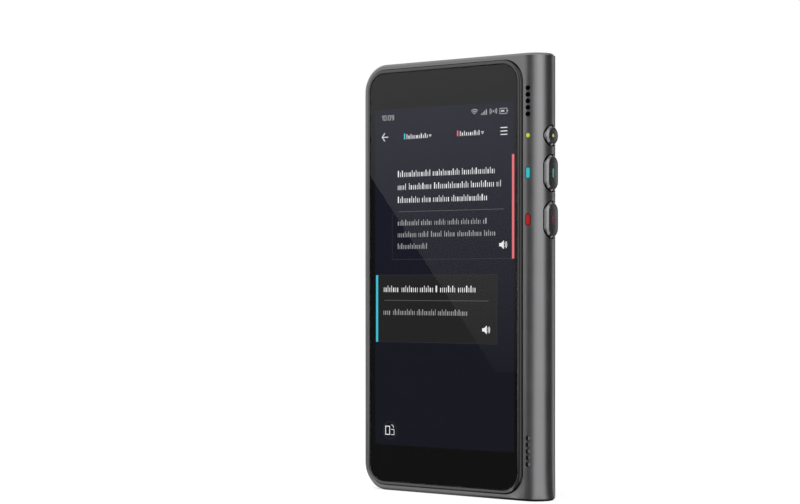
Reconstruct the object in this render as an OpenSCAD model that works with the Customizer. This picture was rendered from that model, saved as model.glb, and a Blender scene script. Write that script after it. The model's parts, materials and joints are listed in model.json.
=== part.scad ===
// Handheld translator: a slim metal slab with a full-round spine down one side.
// The screen fills the front, three press keys and their indicator lights share
// the spine, and a plastic back cover wraps a little way onto the spine.
// X runs across the screen towards the spine, Y from the screen to the back,
// Z up. The origin is where the axis of the spine meets the bottom end face.

/* [Body] */
// Width over the flat left edge and the round spine
body_w = 58; // [54:0.1:72]
// Height from the bottom end to the top end
body_h = 115; // [110:0.5:150]
// Thickness, which is also the diameter of the spine
body_d = 10.2; // [9.8:0.1:12]
// Radius of the two outer corners away from the spine
corner_r = 7.3; // [6:0.1:10]
// Width of the bright bevel round the front and back edges
edge_bevel = 0.6; // [0.2:0.05:0.65]
// Width of the metal rim round the screen
front_rim = 1.35; // [1.2:0.05:1.8]
// Width of the flat metal strip between the screen opening and the spine's curve
spine_strip = 0.4; // [0.3:0.05:1]
// Width of the metal rim beside the back cover, on the edge away from the spine
back_rim_side = 1.2; // [1.1:0.05:1.8]
// Width of the metal rim above and below the back cover
back_rim_end = 1.45; // [1.3:0.05:2]
// Wall between the outside and the main cavity
side_wall = 1.95; // [1.8:0.05:2.2]
// Wall of the hollow spine
spine_wall = 1.9; // [1.7:0.05:2]
// Depth of the ledge that carries the screen, below the front face
front_ledge_depth = 1.7; // [1.6:0.05:1.9]
// Thickness of that ledge
front_ledge_t = 0.8; // [0.6:0.05:1]
// Width of that ledge, from the rim inwards
front_ledge_w = 1.35; // [1.3:0.05:1.5]

/* [Screen] */
// Gap between the screen surround and the metal rim
surround_gap = 0.08; // [0.05:0.01:0.12]
// Wider gap between the surround and the spine
spine_gap = 0.5; // [0.3:0.05:0.7]
// Height of the surround above the metal rim
surround_proud = 0.45; // [0.2:0.05:0.6]
// Width of the surround's sloping outer edge
surround_bevel = 0.33; // [0.2:0.01:0.4]
// Width of the surround's flat top
surround_flat = 0.57; // [0.5:0.01:0.9]
// Depth of the glass below the top of the surround
glass_drop = 0.12; // [0:0.01:0.2]
// Gap between the glass and the surround
glass_gap = 0.15; // [0.1:0.01:0.2]
// Thickness of the cover glass
glass_t = 0.75; // [0.5:0.05:0.8]
// Width of the glass that rests on the surround's lip
glass_lip = 0.3; // [0.2:0.05:0.35]
// Black border of the glass beside the picture, on the left
border_left = 1.35; // [1.1:0.05:2]
// Black border of the glass beside the picture, on the spine side
border_spine = 1.25; // [1.2:0.05:3]
// Black border of the glass above the picture
border_top = 9.7; // [8:0.1:14]
// Black border of the glass below the picture
border_bottom = 9.8; // [8:0.1:14]
// Thickness of the display panel
panel_t = 1.5; // [1.2:0.05:1.6]
// Margin of the panel round the picture, at the sides
panel_margin = 0.4; // [0.3:0.05:0.45]
// Margin of the panel above the picture
panel_head = 1; // [0.5:0.1:3]
// Margin of the panel below the picture, where its driver sits
panel_foot = 3.5; // [2.5:0.1:5]
// Thickness of the steel tray behind the panel
tray_t = 0.2; // [0.15:0.05:0.3]

/* [Keys] */
// Diameter of the power key, and width of the two long keys
key_w = 5.1; // [4.8:0.1:5.3]
// Length of the two long keys
key_l = 9.3; // [8:0.1:9.6]
// Gap round each key in its opening
key_gap = 0.27; // [0.1:0.01:0.3]
// Height of the keys above the spine
key_proud = 0.45; // [0.35:0.05:0.8]
// Bevel round the outer face of each key
key_bevel = 0.45; // [0.1:0.05:0.5]
// Depth of the shallow recess in each key's face
key_dish = 0.08; // [0.05:0.01:0.15]
// Width of the raised edge round that recess
key_edge = 0.18; // [0.1:0.01:0.4]
// Travel of the keys
key_travel = 0.3; // [0.15:0.05:0.35]
// Distance of the power key below the top end
power_drop = 21.2; // [20.6:0.1:22]
// Distance of the upper long key below the top end
teal_drop = 30.8; // [30.6:0.1:31.2]
// Distance of the lower long key below the top end
red_drop = 42.8; // [42.4:0.1:50]
// Length of the ears that hold each key in
ear_l = 0.5; // [0.3:0.05:0.55]
// Thickness of the ears
ear_t = 0.6; // [0.5:0.05:0.7]
// Wall left outside the ears, at the crown of the spine
ear_wall = 2.25; // [2.1:0.05:2.4]
// Play between the ears and their seat
ear_play = 0.1; // [0.05:0.01:0.15]
// Diameter of the nub that presses the switch
nub_d = 2; // [1.6:0.1:2.4]
// Length of the nub
nub_l = 0.45; // [0.3:0.05:0.6]
// Depth of the coloured inlay in each key
mark_depth = 0.2; // [0.1:0.05:0.4]
// Diameter of the power key's inlay
power_mark_d = 0.9; // [0.6:0.1:2]
// Width of the long keys' inlays
mark_w = 0.7; // [0.4:0.05:1.5]
// Length of the long keys' inlays
mark_l = 2.4; // [1.5:0.1:5]

/* [Indicators and grilles] */
// Distance of the lights and holes from the axis of the spine, across the front
light_offset = 1; // [0.8:0.05:1.15]
// Diameter of the round light, and width of the two long ones
light_w = 1.5; // [1:0.05:1.6]
// Length of the two long lights
light_l = 3.2; // [2:0.1:4]
// Play of each light guide in its opening
light_play = 0.03; // [0.02:0.01:0.08]
// Diameter of the grille holes
hole_d = 1.3; // [0.8:0.05:1.35]
// Distance between grille holes
hole_pitch = 1.67; // [1.5:0.01:1.8]
// Number of holes in each grille
hole_count = 5; // [3:1:5]
// Distance of the top grille's middle below the top end
speaker_drop = 12.4; // [12:0.1:13]
// Distance of the bottom grille's middle above the bottom end
mic_rise = 12.85; // [12:0.1:16]
// Thickness of the mesh behind each grille
mesh_t = 0.12; // [0.08:0.01:0.2]
// Depth of the flat mesh seats below the crown of the spine
mesh_depth = 1.6; // [1.5:0.05:1.8]

/* [Back] */
// Thickness of the back cover
cover_t = 1; // [0.8:0.05:1.1]
// Angle by which the back cover wraps onto the spine
cover_wrap = 36; // [20:1:38]
// Gap between the back cover and the metal
cover_gap = 0.15; // [0.1:0.01:0.2]
// Corner radius of the back cover next to the spine
cover_corner_r = 6; // [3:0.1:7]
// Thickness of the adhesive frame under the back cover
adhesive_t = 0.15; // [0.1:0.01:0.2]
// Outer diameter of the camera's trim ring
camera_d = 8.7; // [7.5:0.1:11]
// Gap between the trim ring and the cover
camera_gap = 0.2; // [0.1:0.05:0.3]
// Width of the trim ring's face
camera_ring_w = 0.4; // [0.3:0.05:1]
// Distance of the camera below the top end
camera_drop = 10.8; // [10.6:0.1:14]
// Thickness of the camera window
camera_window_t = 0.6; // [0.4:0.05:0.8]
// Diameter of the flash window
flash_d = 3.4; // [2.5:0.1:5]
// Distance from the camera's middle down to the flash's
flash_pitch = 7.5; // [7.2:0.1:10]

/* [Inside] */
// Thickness of the mid plate's rim
plate_t = 0.6; // [0.5:0.05:0.8]
// Thickness of the circuit boards
board_t = 0.8; // [0.6:0.05:1]
// Height of the main board
board_h = 50; // [46:0.5:52]
// Height of the posts under the main board
post_h = 2.5; // [1.5:0.1:2.6]
// Outer diameter of the posts
post_d = 3; // [2.6:0.1:3.4]
// Thread diameter of the board screws
screw_d = 1.4; // [1.2:0.1:1.6]
// Head diameter of the board screws
screw_head_d = 2.5; // [2.2:0.1:2.8]
// Thickness of the battery
battery_t = 4.5; // [3.5:0.1:4.6]
// Depth of the USB socket
usb_l = 7.3; // [6.5:0.1:9]
// Play round the USB socket in the bottom wall
usb_play = 0.1; // [0.05:0.05:0.2]
// Thickness of the flat cables
flex_t = 0.15; // [0.1:0.01:0.2]

/* [Hidden] */
$fn = 72;

// Standard outside width and thickness of a USB-C socket, and its sheet and tongue.
usb_w = 8.94;
usb_t = 3.16;
usb_wall = 0.3;
usb_z0 = 0.15;
usb_floor = 0.5;
tongue_w = 6.68;
tongue_t = 0.7;
tongue_z0 = 1.2;

// Outline of the body and the axis of the spine.
spine_r = body_d / 2;
x_axis = 0;
x_left = x_axis + spine_r - body_w;
x_mid = x_left + body_w / 2;
y_front = -body_d / 2;
y_back = body_d / 2;

// Screen opening, surround and glass, all inset from the same rim.
open_x0 = x_left + front_rim;
open_x1 = x_axis - spine_strip;
open_z0 = front_rim;
open_z1 = body_h - front_rim;
open_r = corner_r - front_rim;
ring_x0 = open_x0 + surround_gap;
ring_x1 = open_x1 - spine_gap;
ring_z0 = open_z0 + surround_gap;
ring_z1 = open_z1 - surround_gap;
ring_r = open_r - surround_gap;
surround_w = surround_bevel + surround_flat;
glass_inset = surround_w + glass_gap;
glass_x0 = ring_x0 + glass_inset;
glass_x1 = ring_x1 - glass_inset;
glass_z0 = ring_z0 + glass_inset;
glass_z1 = ring_z1 - glass_inset;
glass_r = ring_r - glass_inset;
window_r = open_r - front_ledge_w;

// Levels from the screen to the back.
surround_top_y = y_front - surround_proud;
glass_top_y = surround_top_y + glass_drop;
glass_back_y = glass_top_y + glass_t;
panel_back_y = glass_back_y + panel_t;
tray_back_y = panel_back_y + tray_t;
ledge_y = y_front + front_ledge_depth;
cavity_y0 = ledge_y + front_ledge_t;
plate_back_y = cavity_y0 + plate_t;
board_y = plate_back_y + post_h;
board_back_y = board_y + board_t;
battery_back_y = plate_back_y + battery_t;
charge_board_y = usb_t / 2;
charge_back_y = charge_board_y + board_t;
cover_in_y = y_back - cover_t;
cavity_y1 = cover_in_y - adhesive_t;

// Picture and display panel.
picture_x0 = glass_x0 + border_left;
picture_x1 = glass_x1 - border_spine;
picture_z0 = glass_z0 + border_bottom;
picture_z1 = glass_z1 - border_top;
panel_x0 = picture_x0 - panel_margin;
panel_x1 = picture_x1 + panel_margin;
panel_z0 = picture_z0 - panel_foot;
panel_z1 = picture_z1 + panel_head;

// Main cavity and the passage into the hollow spine.
cavity_x0 = x_left + side_wall;
cavity_x1 = panel_x1 - 0.1;
cavity_z0 = side_wall;
cavity_z1 = body_h - side_wall;
cavity_r = corner_r - side_wall;
passage_z0 = 3;
passage_z1 = body_h - 3;
passage_y0 = cavity_y0;
passage_y1 = cavity_y1 - 0.95;
spine_in_r = spine_r - spine_wall;
passage_x1 = x_axis - 0.4;
plate_fit = 0.1;

// Keys, from the outer face inwards, with their heights.
power_z = body_h - power_drop;
teal_z = body_h - teal_drop;
red_z = body_h - red_drop;
KEY_Z = [power_z, teal_z, red_z];
KEY_L = [key_w, key_l, key_l];
cap_x1 = x_axis + spine_r + key_proud;
ear_seat_x = x_axis + spine_r - ear_wall;
ear_x1 = ear_seat_x - ear_play;
ear_x0 = ear_x1 - ear_t;
ear_w = key_w - 0.5;
ear_clearance = 0.15;
nub_x0 = ear_x0 - nub_l;
plunger_play = 0.03;
plunger_x1 = nub_x0 - plunger_play;
plunger_d = 1.6;
plunger_l = 1;
plunger_fit = 0.05;
plunger_x0 = plunger_x1 - plunger_l;
switch_x1 = plunger_x0 + 0.3;
switch_t = 1.2;
switch_x0 = switch_x1 - switch_t;
switch_w = 3.2;
switch_l = 3.6;
key_board_t = 0.5;
key_board_x0 = switch_x0 - key_board_t;
key_board_w = 4.8;
key_board_z1 = power_z + 3;
bracket_t = 0.6;
bracket_x0 = key_board_x0 - bracket_t;
bracket_w = 4.9;
bracket_slot_w = 1.6;
bracket_slot_l = 3;
rail_t = 0.8;
rail_reach = 0.8;
rail_l = 6;

// Lights, their LEDs and the two grilles.
light_x = x_axis + light_offset;
light_foot_y = 0.2 - spine_in_r;
led_y0 = -key_board_w / 2;
led_w = 0.75;
led_t = 0.6;
led_l = 1.6;
GRILLE_Z = [body_h - speaker_drop, mic_rise];
grille_l = (hole_count - 1) * hole_pitch + hole_d + 1.2;
mesh_y = y_front + mesh_depth;
mesh_w = 2;
mesh_play = 0.05;

// Camera and flash.
camera_z = body_h - camera_drop;
flash_z = camera_z - flash_pitch;
camera_flange_w = 0.6;
flash_flange_w = 0.5;
camera_flange_t = 0.5;
camera_barrel_d = 6.2;
camera_base = 8.2;
window_d = camera_d - 2 * camera_ring_w;
flash_play = 0.1;

// Boards, battery and posts.
board_margin = 0.8;
board_x0 = cavity_x0 + board_margin;
board_x1 = cavity_x1 - 1.6;
board_z1 = cavity_z1 - board_margin;
board_z0 = board_z1 - board_h;
key_flex_w = 3.4;
key_flex_z0 = board_z0 + 0.2;
bracket_z0 = key_flex_z0 + key_flex_w + 0.15;
key_board_z0 = key_flex_z0 - 1.45;
speaker_box_w = 10.6;
speaker_fit = 0.3;
speaker_x1 = cavity_x1 - speaker_fit;
speaker_x0 = speaker_x1 - speaker_box_w;
notch_x = speaker_x0 - 1;
speaker_w = 2 * mesh_w + grille_l;
speaker_z0 = GRILLE_Z[0] - speaker_w / 2;
speaker_z1 = GRILLE_Z[0] + speaker_w / 2;
speaker_t = 4.2;
charge_z0 = cavity_z0 + board_margin;
charge_h = 9.5;
charge_z1 = charge_z0 + charge_h;
charge_x0 = board_x0;
charge_reach = 14;
charge_x1 = x_mid + charge_reach;
battery_gap = 1.5;
battery_x0 = board_x0;
battery_x1 = board_x1;
battery_z0 = charge_z1 + battery_gap;
battery_z1 = board_z0 - battery_gap;
post_inset = 2.4;
MAIN_POSTS = [
    [board_x0 + post_inset, board_z0 + post_inset],
    [board_x1 - post_inset - key_flex_w, board_z0 + post_inset],
    [board_x0 + post_inset, board_z1 - post_inset],
    [notch_x - post_inset, board_z1 - post_inset],
];
CHARGE_POSTS = [
    [charge_x0 + post_inset, charge_z1 - post_inset],
    [charge_x1 - post_inset, charge_z1 - post_inset],
];
screw_fit = 0.05;
screw_head_t = 0.5;
screw_l = 2;

// Flat cables.
link_w = 6;
link_offset = 2;
link_x = x_mid + link_offset;
battery_flex_w = 5;
battery_tab_offset = 12.1;
battery_tab_l = 4;
battery_flex_x = battery_x0 + battery_tab_offset;
battery_mid_z = (battery_z0 + battery_z1) / 2;
connector_w = 2.5;
connector_t = 0.8;
connector_inset = 2.2;
flex_landing = connector_inset + connector_w + 0.3;
charge_landing = connector_w + 1.9;
charge_connector_z = charge_z1 - charge_landing + 0.4;
display_flex_w = 8;
display_flex_clear = 1.7;
display_flex_x = charge_x0 + post_inset + display_flex_clear + display_flex_w / 2;
display_slot_z0 = charge_z0 + 0.4;
display_slot_h = 2;
display_slot_play = 0.5;

// Printed antenna on the inside of the back cover.
antenna_margin = 1.5;
antenna_w = 16;
antenna_drop = 7;
antenna_r = 2;
antenna_track = 2.5;

// Two shield cans on the board, and the chips under them.
can_t = 1.6;
can_wall = 0.2;
can_r = 0.8;
can_margin = 3;
can_gap = 1;
can_rise = 6.5;
can_drop = 4.5;
can_z0 = board_z0 + can_rise;
can_z1 = flash_z - can_drop;
can_split = x_mid + link_offset;
CANS = [
    [board_x0 + can_margin, can_split - can_gap / 2],
    [can_split + can_gap / 2, board_x1 - can_margin],
];
chip_w = 10;
chip_t = 1;
chip_inset = 3;
chip_gap = 2;
small_chip_w = 8;
small_chip_t = 0.9;
small_chip_z0 = can_z0 + chip_inset + chip_w + chip_gap;

// Stack behind the bottom grille: gasket, two microphones, board and holder.
gasket_t = 0.7;
mic_t = 1;
mic_board_t = 0.5;
mic_y0 = mesh_y + mesh_t + gasket_t;
mic_board_y = mic_y0 + mic_t;
mic_board_x0 = x_axis - 0.3;
mic_board_w = 2.6;
mic_w = 1.9;
mic_l = 2.8;
mic_hole_d = 0.9;
mic_end = 0.2;
MIC_Z = [
    mic_rise - grille_l / 2 + mic_l / 2 + mic_end,
    mic_rise + grille_l / 2 - mic_l / 2 - mic_end,
];

// Colours.
metal_grey = "#707073";
plastic_grey = "#303032";
cover_grey = "#454548";
board_green = "#1d4a3a";
flex_amber = "#8a5a1e";
steel = "#b8babd";

// ---- Shared shapes ----

// Extrudes an outline drawn in X and Z from y0 to y1.
module slab(y0, y1) {
    translate([0, y1, 0]) rotate([90, 0, 0]) linear_extrude(y1 - y0) children();
}

// Extrudes an outline drawn in Y and Z from x0 to x1.
module bar(x0, x1) {
    translate([x0, 0, 0]) rotate([90, 0, 90]) linear_extrude(x1 - x0) children();
}

// Box between two corners.
module block(low, high) {
    translate(low) cube(high - low);
}

// Upright rectangle with one corner radius on the left and one on the right.
module outline(x0, x1, z0, z1, r_left, r_right) {
    mid_x0 = x0 + r_left;
    mid_x1 = x1 - r_right;
    overlap = 0.5;
    translate([mid_x0, z0]) square([mid_x1 - mid_x0, z1 - z0]);
    translate([x0, z0 + r_left]) square([r_left + overlap, z1 - z0 - 2 * r_left]);
    translate([mid_x1 - overlap, z0 + r_right])
        square([r_right + overlap, z1 - z0 - 2 * r_right]);
    for (z = [z0 + r_left, z1 - r_left]) translate([mid_x0, z]) circle(r_left);
    for (z = [z0 + r_right, z1 - r_right]) translate([mid_x1, z]) circle(r_right);
}

// Round-ended slot of width w and length l, upright, round the origin.
module pill(w, l) {
    square_l = l - w;
    if (square_l > 0) square([w, square_l], center = true);
    for (side = [-1, 1]) translate([0, side * square_l / 2]) circle(w / 2);
}

// Plate whose edge follows a profile: a list of [inset, y] from front to back.
// Its corners are turned from the same profile, so the edge runs on round them.
module edged_plate(x0, x1, z0, z1, r_left, r_right, profile) {
    first = profile[0][1];
    last = profile[len(profile) - 1][1];
    back = len(profile) - 1;
    translate([x0 + r_left, 0, 0]) rotate([90, 0, 90])
        linear_extrude(x1 - x0 - r_left - r_right)
            polygon(concat(
                [for (p = profile) [p[1], z0 + p[0]]],
                [for (i = [0:back]) [profile[back - i][1], z1 - profile[back - i][0]]]));
    translate([0, 0, z0 + r_left]) linear_extrude(z1 - z0 - 2 * r_left)
        polygon(concat(
            [[x0 + r_left + 1, first]],
            [for (p = profile) [x0 + p[0], p[1]]],
            [[x0 + r_left + 1, last]]));
    for (z = [z0 + r_left, z1 - r_left])
        turned_corner(x0 + r_left, z, r_left, profile);
    if (r_right > 0) {
        translate([0, 0, z0 + r_right]) linear_extrude(z1 - z0 - 2 * r_right)
            polygon(concat(
                [[x1 - r_right - 1, first]],
                [for (p = profile) [x1 - p[0], p[1]]],
                [[x1 - r_right - 1, last]]));
        for (z = [z0 + r_right, z1 - r_right])
            turned_corner(x1 - r_right, z, r_right, profile);
    }
}

// Disc with a profiled edge, its axis along Y.
module turned_corner(x, z, r, profile) {
    last = profile[len(profile) - 1][1];
    translate([x, 0, z]) rotate([-90, 0, 0]) rotate_extrude()
        polygon(concat(
            [[0, profile[0][1]]],
            [for (p = profile) [r - p[0], p[1]]],
            [[0, last]]));
}

// Round bar of diameter d along Y.
module rod_y(x, z, d, y0, y1) {
    translate([x, y0, z]) rotate([-90, 0, 0]) cylinder(h = y1 - y0, d = d);
}

// Round bar of diameter d along X.
module rod_x(z, d, x0, x1) {
    translate([x0, 0, z]) rotate([0, 90, 0]) cylinder(h = x1 - x0, d = d);
}

// Sector of the spine's cross-section between two radii, measured from the
// back towards the crown by the given angle.
module spine_sector(r_in, r_out, angle) {
    reach = 2 * spine_r;
    translate([x_axis, 0]) intersection() {
        difference() {
            circle(r_out);
            circle(r_in);
        }
        polygon([[0, 0], [0, reach], [reach * sin(angle), reach * cos(angle)]]);
    }
}

// ---- Metal body ----

module body_blank() {
    edged_plate(x_left, x_axis, 0, body_h, corner_r, 0, [
        [edge_bevel, y_front],
        [0, y_front + edge_bevel],
        [0, y_back - edge_bevel],
        [edge_bevel, y_back],
    ]);
    translate([x_axis, 0, 0]) rotate_extrude() polygon([
        [0, 0],
        [spine_r - edge_bevel, 0],
        [spine_r, edge_bevel],
        [spine_r, body_h - edge_bevel],
        [spine_r - edge_bevel, body_h],
        [0, body_h],
    ]);
}

// Space for the back cover and its gap, open to the back.
module cover_space(gap, y0, wrap, out) {
    x0 = x_left + back_rim_side + cover_gap - gap;
    z0 = back_rim_end + cover_gap - gap;
    x1 = x_axis + spine_r * sin(wrap);
    intersection() {
        linear_extrude(body_h) union() {
            translate([x0, y0]) square([x_axis - x0, y_back + out - y0]);
            spine_sector(y0, spine_r + out, wrap);
        }
        slab(0, y_back + 2 * out + 1)
            outline(x0, x1, z0, body_h - z0, corner_r - back_rim_side + gap - cover_gap,
                cover_corner_r + gap);
    }
}

// Passage beside the main cavity and the hollow of the spine, less the rails
// that the key bracket leans on.
module spine_hollow() {
    difference() {
        union() {
            block([cavity_x1 - 1, passage_y0, passage_z0], [passage_x1, passage_y1, passage_z1]);
            intersection() {
                translate([x_axis, 0, passage_z0])
                    cylinder(h = passage_z1 - passage_z0, r = spine_in_r);
                block([passage_x1 - 0.1, -spine_r, 0], [x_axis + spine_r, spine_r, body_h]);
            }
        }
        for (z = KEY_Z) {
            block([bracket_x0 - rail_t, passage_y0 - 1, z - rail_l / 2],
                [bracket_x0, passage_y0 + rail_reach, z + rail_l / 2]);
            block([bracket_x0 - rail_t, passage_y1 - rail_reach, z - rail_l / 2],
                [bracket_x0, passage_y1 + 1, z + rail_l / 2]);
        }
    }
}

// Opening for one key, with the pocket that its ears move in.
module key_opening(z, l) {
    pocket_w = ear_w + 2 * ear_clearance;
    pocket_l = l + 2 * (ear_l + ear_clearance);
    translate([0, 0, z]) {
        bar(x_axis, cap_x1 + 1) pill(key_w + 2 * key_gap, l + 2 * key_gap);
        block([x_axis, -pocket_w / 2, -pocket_l / 2], [ear_seat_x, pocket_w / 2, pocket_l / 2]);
    }
}

// Opening for one light guide.
module light_opening(z, l) {
    w = light_w + 2 * light_play;
    slab(y_front - 1, light_foot_y) translate([light_x, z]) pill(w, l + 2 * light_play);
}

// One row of grille holes with the flat seat for its mesh.
module grille(z) {
    for (i = [0:hole_count - 1]) {
        rod_y(light_x, z + (i - (hole_count - 1) / 2) * hole_pitch, hole_d, y_front - 1, 0);
    }
    block([light_x - mesh_w / 2 - mesh_play, mesh_y, z - grille_l / 2 - mesh_play],
        [light_x + mesh_w / 2 + mesh_play, 0, z + grille_l / 2 + mesh_play]);
}

module frame_housing() {
    color(metal_grey) difference() {
        body_blank();
        slab(y_front - 1, ledge_y)
            outline(open_x0, open_x1, open_z0, open_z1, open_r, open_r);
        slab(ledge_y - 1, cavity_y0 + 0.1)
            outline(open_x0 + front_ledge_w, panel_x1 + 0.1, open_z0 + front_ledge_w,
                open_z1 - front_ledge_w, window_r, window_r);
        slab(cavity_y0, cavity_y1 + 0.1)
            outline(cavity_x0, cavity_x1, cavity_z0, cavity_z1, cavity_r, 1);
        cover_space(cover_gap, cavity_y1, cover_wrap + cover_gap / spine_r * 180 / PI, 1);
        spine_hollow();
        for (i = [0:2]) key_opening(KEY_Z[i], KEY_L[i]);
        light_opening(power_z, light_w);
        light_opening(teal_z, light_l);
        light_opening(red_z, light_l);
        for (z = GRILLE_Z) grille(z);
        translate([x_mid, 0, -1]) linear_extrude(side_wall + 2)
            rotate(90) pill(usb_t + 2 * usb_play, usb_w + 2 * usb_play);
    }
}

// ---- Screen ----

module screen_surround() {
    color(plastic_grey) difference() {
        edged_plate(ring_x0, ring_x1, ring_z0, ring_z1, ring_r, ring_r, [
            [surround_bevel, surround_top_y],
            [0, y_front],
            [0, ledge_y],
        ]);
        slab(surround_top_y - 1, glass_back_y)
            outline(glass_x0 - glass_gap, glass_x1 + glass_gap, glass_z0 - glass_gap,
                glass_z1 + glass_gap, glass_r + glass_gap, glass_r + glass_gap);
        slab(glass_back_y - 1, ledge_y + 1)
            outline(glass_x0 + glass_lip, glass_x1 - glass_lip, glass_z0 + glass_lip,
                glass_z1 - glass_lip, glass_r - glass_lip, glass_r - glass_lip);
    }
}

module cover_glass() {
    color("#101114") slab(glass_top_y, glass_back_y)
        outline(glass_x0, glass_x1, glass_z0, glass_z1, glass_r, glass_r);
}

module display_panel() {
    color("#1c1e28") slab(glass_back_y, panel_back_y)
        outline(panel_x0, panel_x1, panel_z0, panel_z1, 1, 1);
}

module display_tray() {
    color(steel) slab(panel_back_y, tray_back_y)
        outline(panel_x0, panel_x1, panel_z0, panel_z1, 1, 1);
}

// ---- Mid plate ----

module mid_plate() {
    color("#8b8d90") difference() {
        union() {
            slab(cavity_y0, plate_back_y)
                outline(cavity_x0 + plate_fit, cavity_x1 - plate_fit, cavity_z0 + plate_fit,
                    cavity_z1 - plate_fit, cavity_r - plate_fit, 1 - plate_fit);
            slab(tray_back_y, cavity_y0)
                outline(panel_x0, cavity_x1 - plate_fit, panel_z0, panel_z1, 1, 1);
            for (p = MAIN_POSTS) rod_y(p[0], p[1], post_d, cavity_y0, board_y);
            for (p = CHARGE_POSTS) rod_y(p[0], p[1], post_d, cavity_y0, charge_board_y);
        }
        for (p = MAIN_POSTS) {
            rod_y(p[0], p[1], screw_d + 2 * screw_fit, board_y - screw_l, board_y + 1);
        }
        for (p = CHARGE_POSTS) {
            rod_y(p[0], p[1], screw_d + 2 * screw_fit, charge_board_y - screw_l,
                charge_board_y + 1);
        }
        block([display_flex_x - display_flex_w / 2 - display_slot_play, tray_back_y - 1,
            display_slot_z0],
            [display_flex_x + display_flex_w / 2 + display_slot_play, plate_back_y + 1,
            display_slot_z0 + display_slot_h]);
    }
}

// ---- Back ----

module back_cover() {
    color(cover_grey) difference() {
        cover_space(0, cover_in_y, cover_wrap, 0);
        rod_y(x_mid, camera_z, camera_d + 2 * camera_gap, cover_in_y - 1, y_back + 1);
        rod_y(x_mid, flash_z, flash_d + 2 * flash_play, cover_in_y - 1, y_back + 1);
    }
}

module back_adhesive() {
    inset = 0.1;
    x0 = x_left + back_rim_side + cover_gap;
    z0 = back_rim_end + cover_gap;
    color("#19191b") difference() {
        slab(cavity_y1, cover_in_y)
            outline(x0, x_axis, z0, body_h - z0, corner_r - back_rim_side - cover_gap, 2);
        slab(cavity_y1 - 1, cover_in_y + 1)
            outline(cavity_x0 + inset, cavity_x1 + inset, cavity_z0 + inset,
                cavity_z1 - inset, cavity_r - inset, 1);
    }
}

module camera_ring() {
    flange_d = camera_d + 2 * camera_gap + 2 * camera_flange_w;
    color("#9a9a9d") difference() {
        union() {
            rod_y(x_mid, camera_z, camera_d, cover_in_y, y_back);
            rod_y(x_mid, camera_z, flange_d, cover_in_y - camera_flange_t, cover_in_y);
        }
        rod_y(x_mid, camera_z, window_d, y_back - camera_window_t, y_back + 1);
        rod_y(x_mid, camera_z, camera_barrel_d, cover_in_y - camera_flange_t - 1, y_back);
    }
}

module camera_window() {
    color("#0a0a0c") rod_y(x_mid, camera_z, window_d, y_back - camera_window_t, y_back);
}

module camera_module() {
    barrel_y1 = y_back - camera_window_t - 0.2;
    half = camera_base / 2;
    shoulder_y = cover_in_y - camera_flange_t - 0.2;
    hood_d = 4.2;
    lens_d = 2.2;
    color("#151517") difference() {
        union() {
            slab(plate_back_y, shoulder_y - 1)
                outline(x_mid - half, x_mid + half, camera_z - half, camera_z + half, 0.6, 0.6);
            rod_y(x_mid, camera_z, camera_base - 0.6, shoulder_y - 1, shoulder_y);
            rod_y(x_mid, camera_z, camera_barrel_d - 0.4, shoulder_y, barrel_y1);
        }
        translate([x_mid, barrel_y1 - 0.8, camera_z]) rotate([-90, 0, 0])
            cylinder(h = 0.9, d1 = lens_d, d2 = hood_d);
    }
}

module flash_window() {
    stem_d = flash_d - 0.8;
    color("#d9d9d4") union() {
        rod_y(x_mid, flash_z, flash_d, cover_in_y, y_back);
        rod_y(x_mid, flash_z, flash_d + 2 * flash_flange_w, cover_in_y - 0.4, cover_in_y);
        rod_y(x_mid, flash_z, stem_d, board_back_y + 0.7, cover_in_y);
    }
}

module flash_led() {
    size = 1.6;
    color("#e8dc80") block([x_mid - size / 2, board_back_y, flash_z - size / 2],
        [x_mid + size / 2, board_back_y + 0.7, flash_z + size / 2]);
}

// ---- Boards ----

module main_board() {
    half = camera_base / 2 + 0.5;
    color(board_green) difference() {
        slab(board_y, board_back_y) outline(board_x0, board_x1, board_z0, board_z1,
            cavity_r - board_margin, 1);
        block([x_mid - half, board_y - 1, camera_z - half],
            [x_mid + half, board_back_y + 1, camera_z + half]);
        block([notch_x, board_y - 1, speaker_z0 - 1],
            [board_x1 + 1, board_back_y + 1, board_z1 + 1]);
        for (p = MAIN_POSTS) {
            rod_y(p[0], p[1], screw_d + 4 * screw_fit, board_y - 1, board_back_y + 1);
        }
    }
}

module shield_cans() {
    color(steel) for (c = CANS) {
        difference() {
            slab(board_back_y, board_back_y + can_t)
                outline(c[0], c[1], can_z0, can_z1, can_r, can_r);
            slab(board_back_y - 1, board_back_y + can_t - can_wall)
                outline(c[0] + can_wall, c[1] - can_wall, can_z0 + can_wall,
                    can_z1 - can_wall, can_r - can_wall, can_r - can_wall);
        }
    }
}

module board_chips() {
    color("#26272a") for (c = CANS) {
        mid = (c[0] + c[1]) / 2;
        block([mid - chip_w / 2, board_back_y, can_z0 + chip_inset],
            [mid + chip_w / 2, board_back_y + chip_t, can_z0 + chip_inset + chip_w]);
        block([mid - small_chip_w / 2, board_back_y, small_chip_z0],
            [mid + small_chip_w / 2, board_back_y + small_chip_t, can_z1 - 1]);
    }
}

// Connector block on the end of a flat cable.
module connector(x, y, z) {
    block([x - link_w / 2, y, z], [x + link_w / 2, y + connector_t, z + connector_w]);
}

module board_connectors() {
    color("#202023") {
        for (x = [link_x, battery_flex_x]) {
            connector(x, board_back_y + flex_t, board_z0 + connector_inset);
        }
        connector(link_x, charge_back_y + flex_t, charge_connector_z);
    }
}

module board_screws() {
    color(steel) {
        for (p = MAIN_POSTS) {
            rod_y(p[0], p[1], screw_d, board_y - screw_l + 0.3, board_back_y);
            rod_y(p[0], p[1], screw_head_d, board_back_y, board_back_y + screw_head_t);
        }
        for (p = CHARGE_POSTS) {
            rod_y(p[0], p[1], screw_d, charge_board_y - screw_l + 0.3, charge_back_y);
            rod_y(p[0], p[1], screw_head_d, charge_back_y, charge_back_y + screw_head_t);
        }
    }
}

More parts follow.
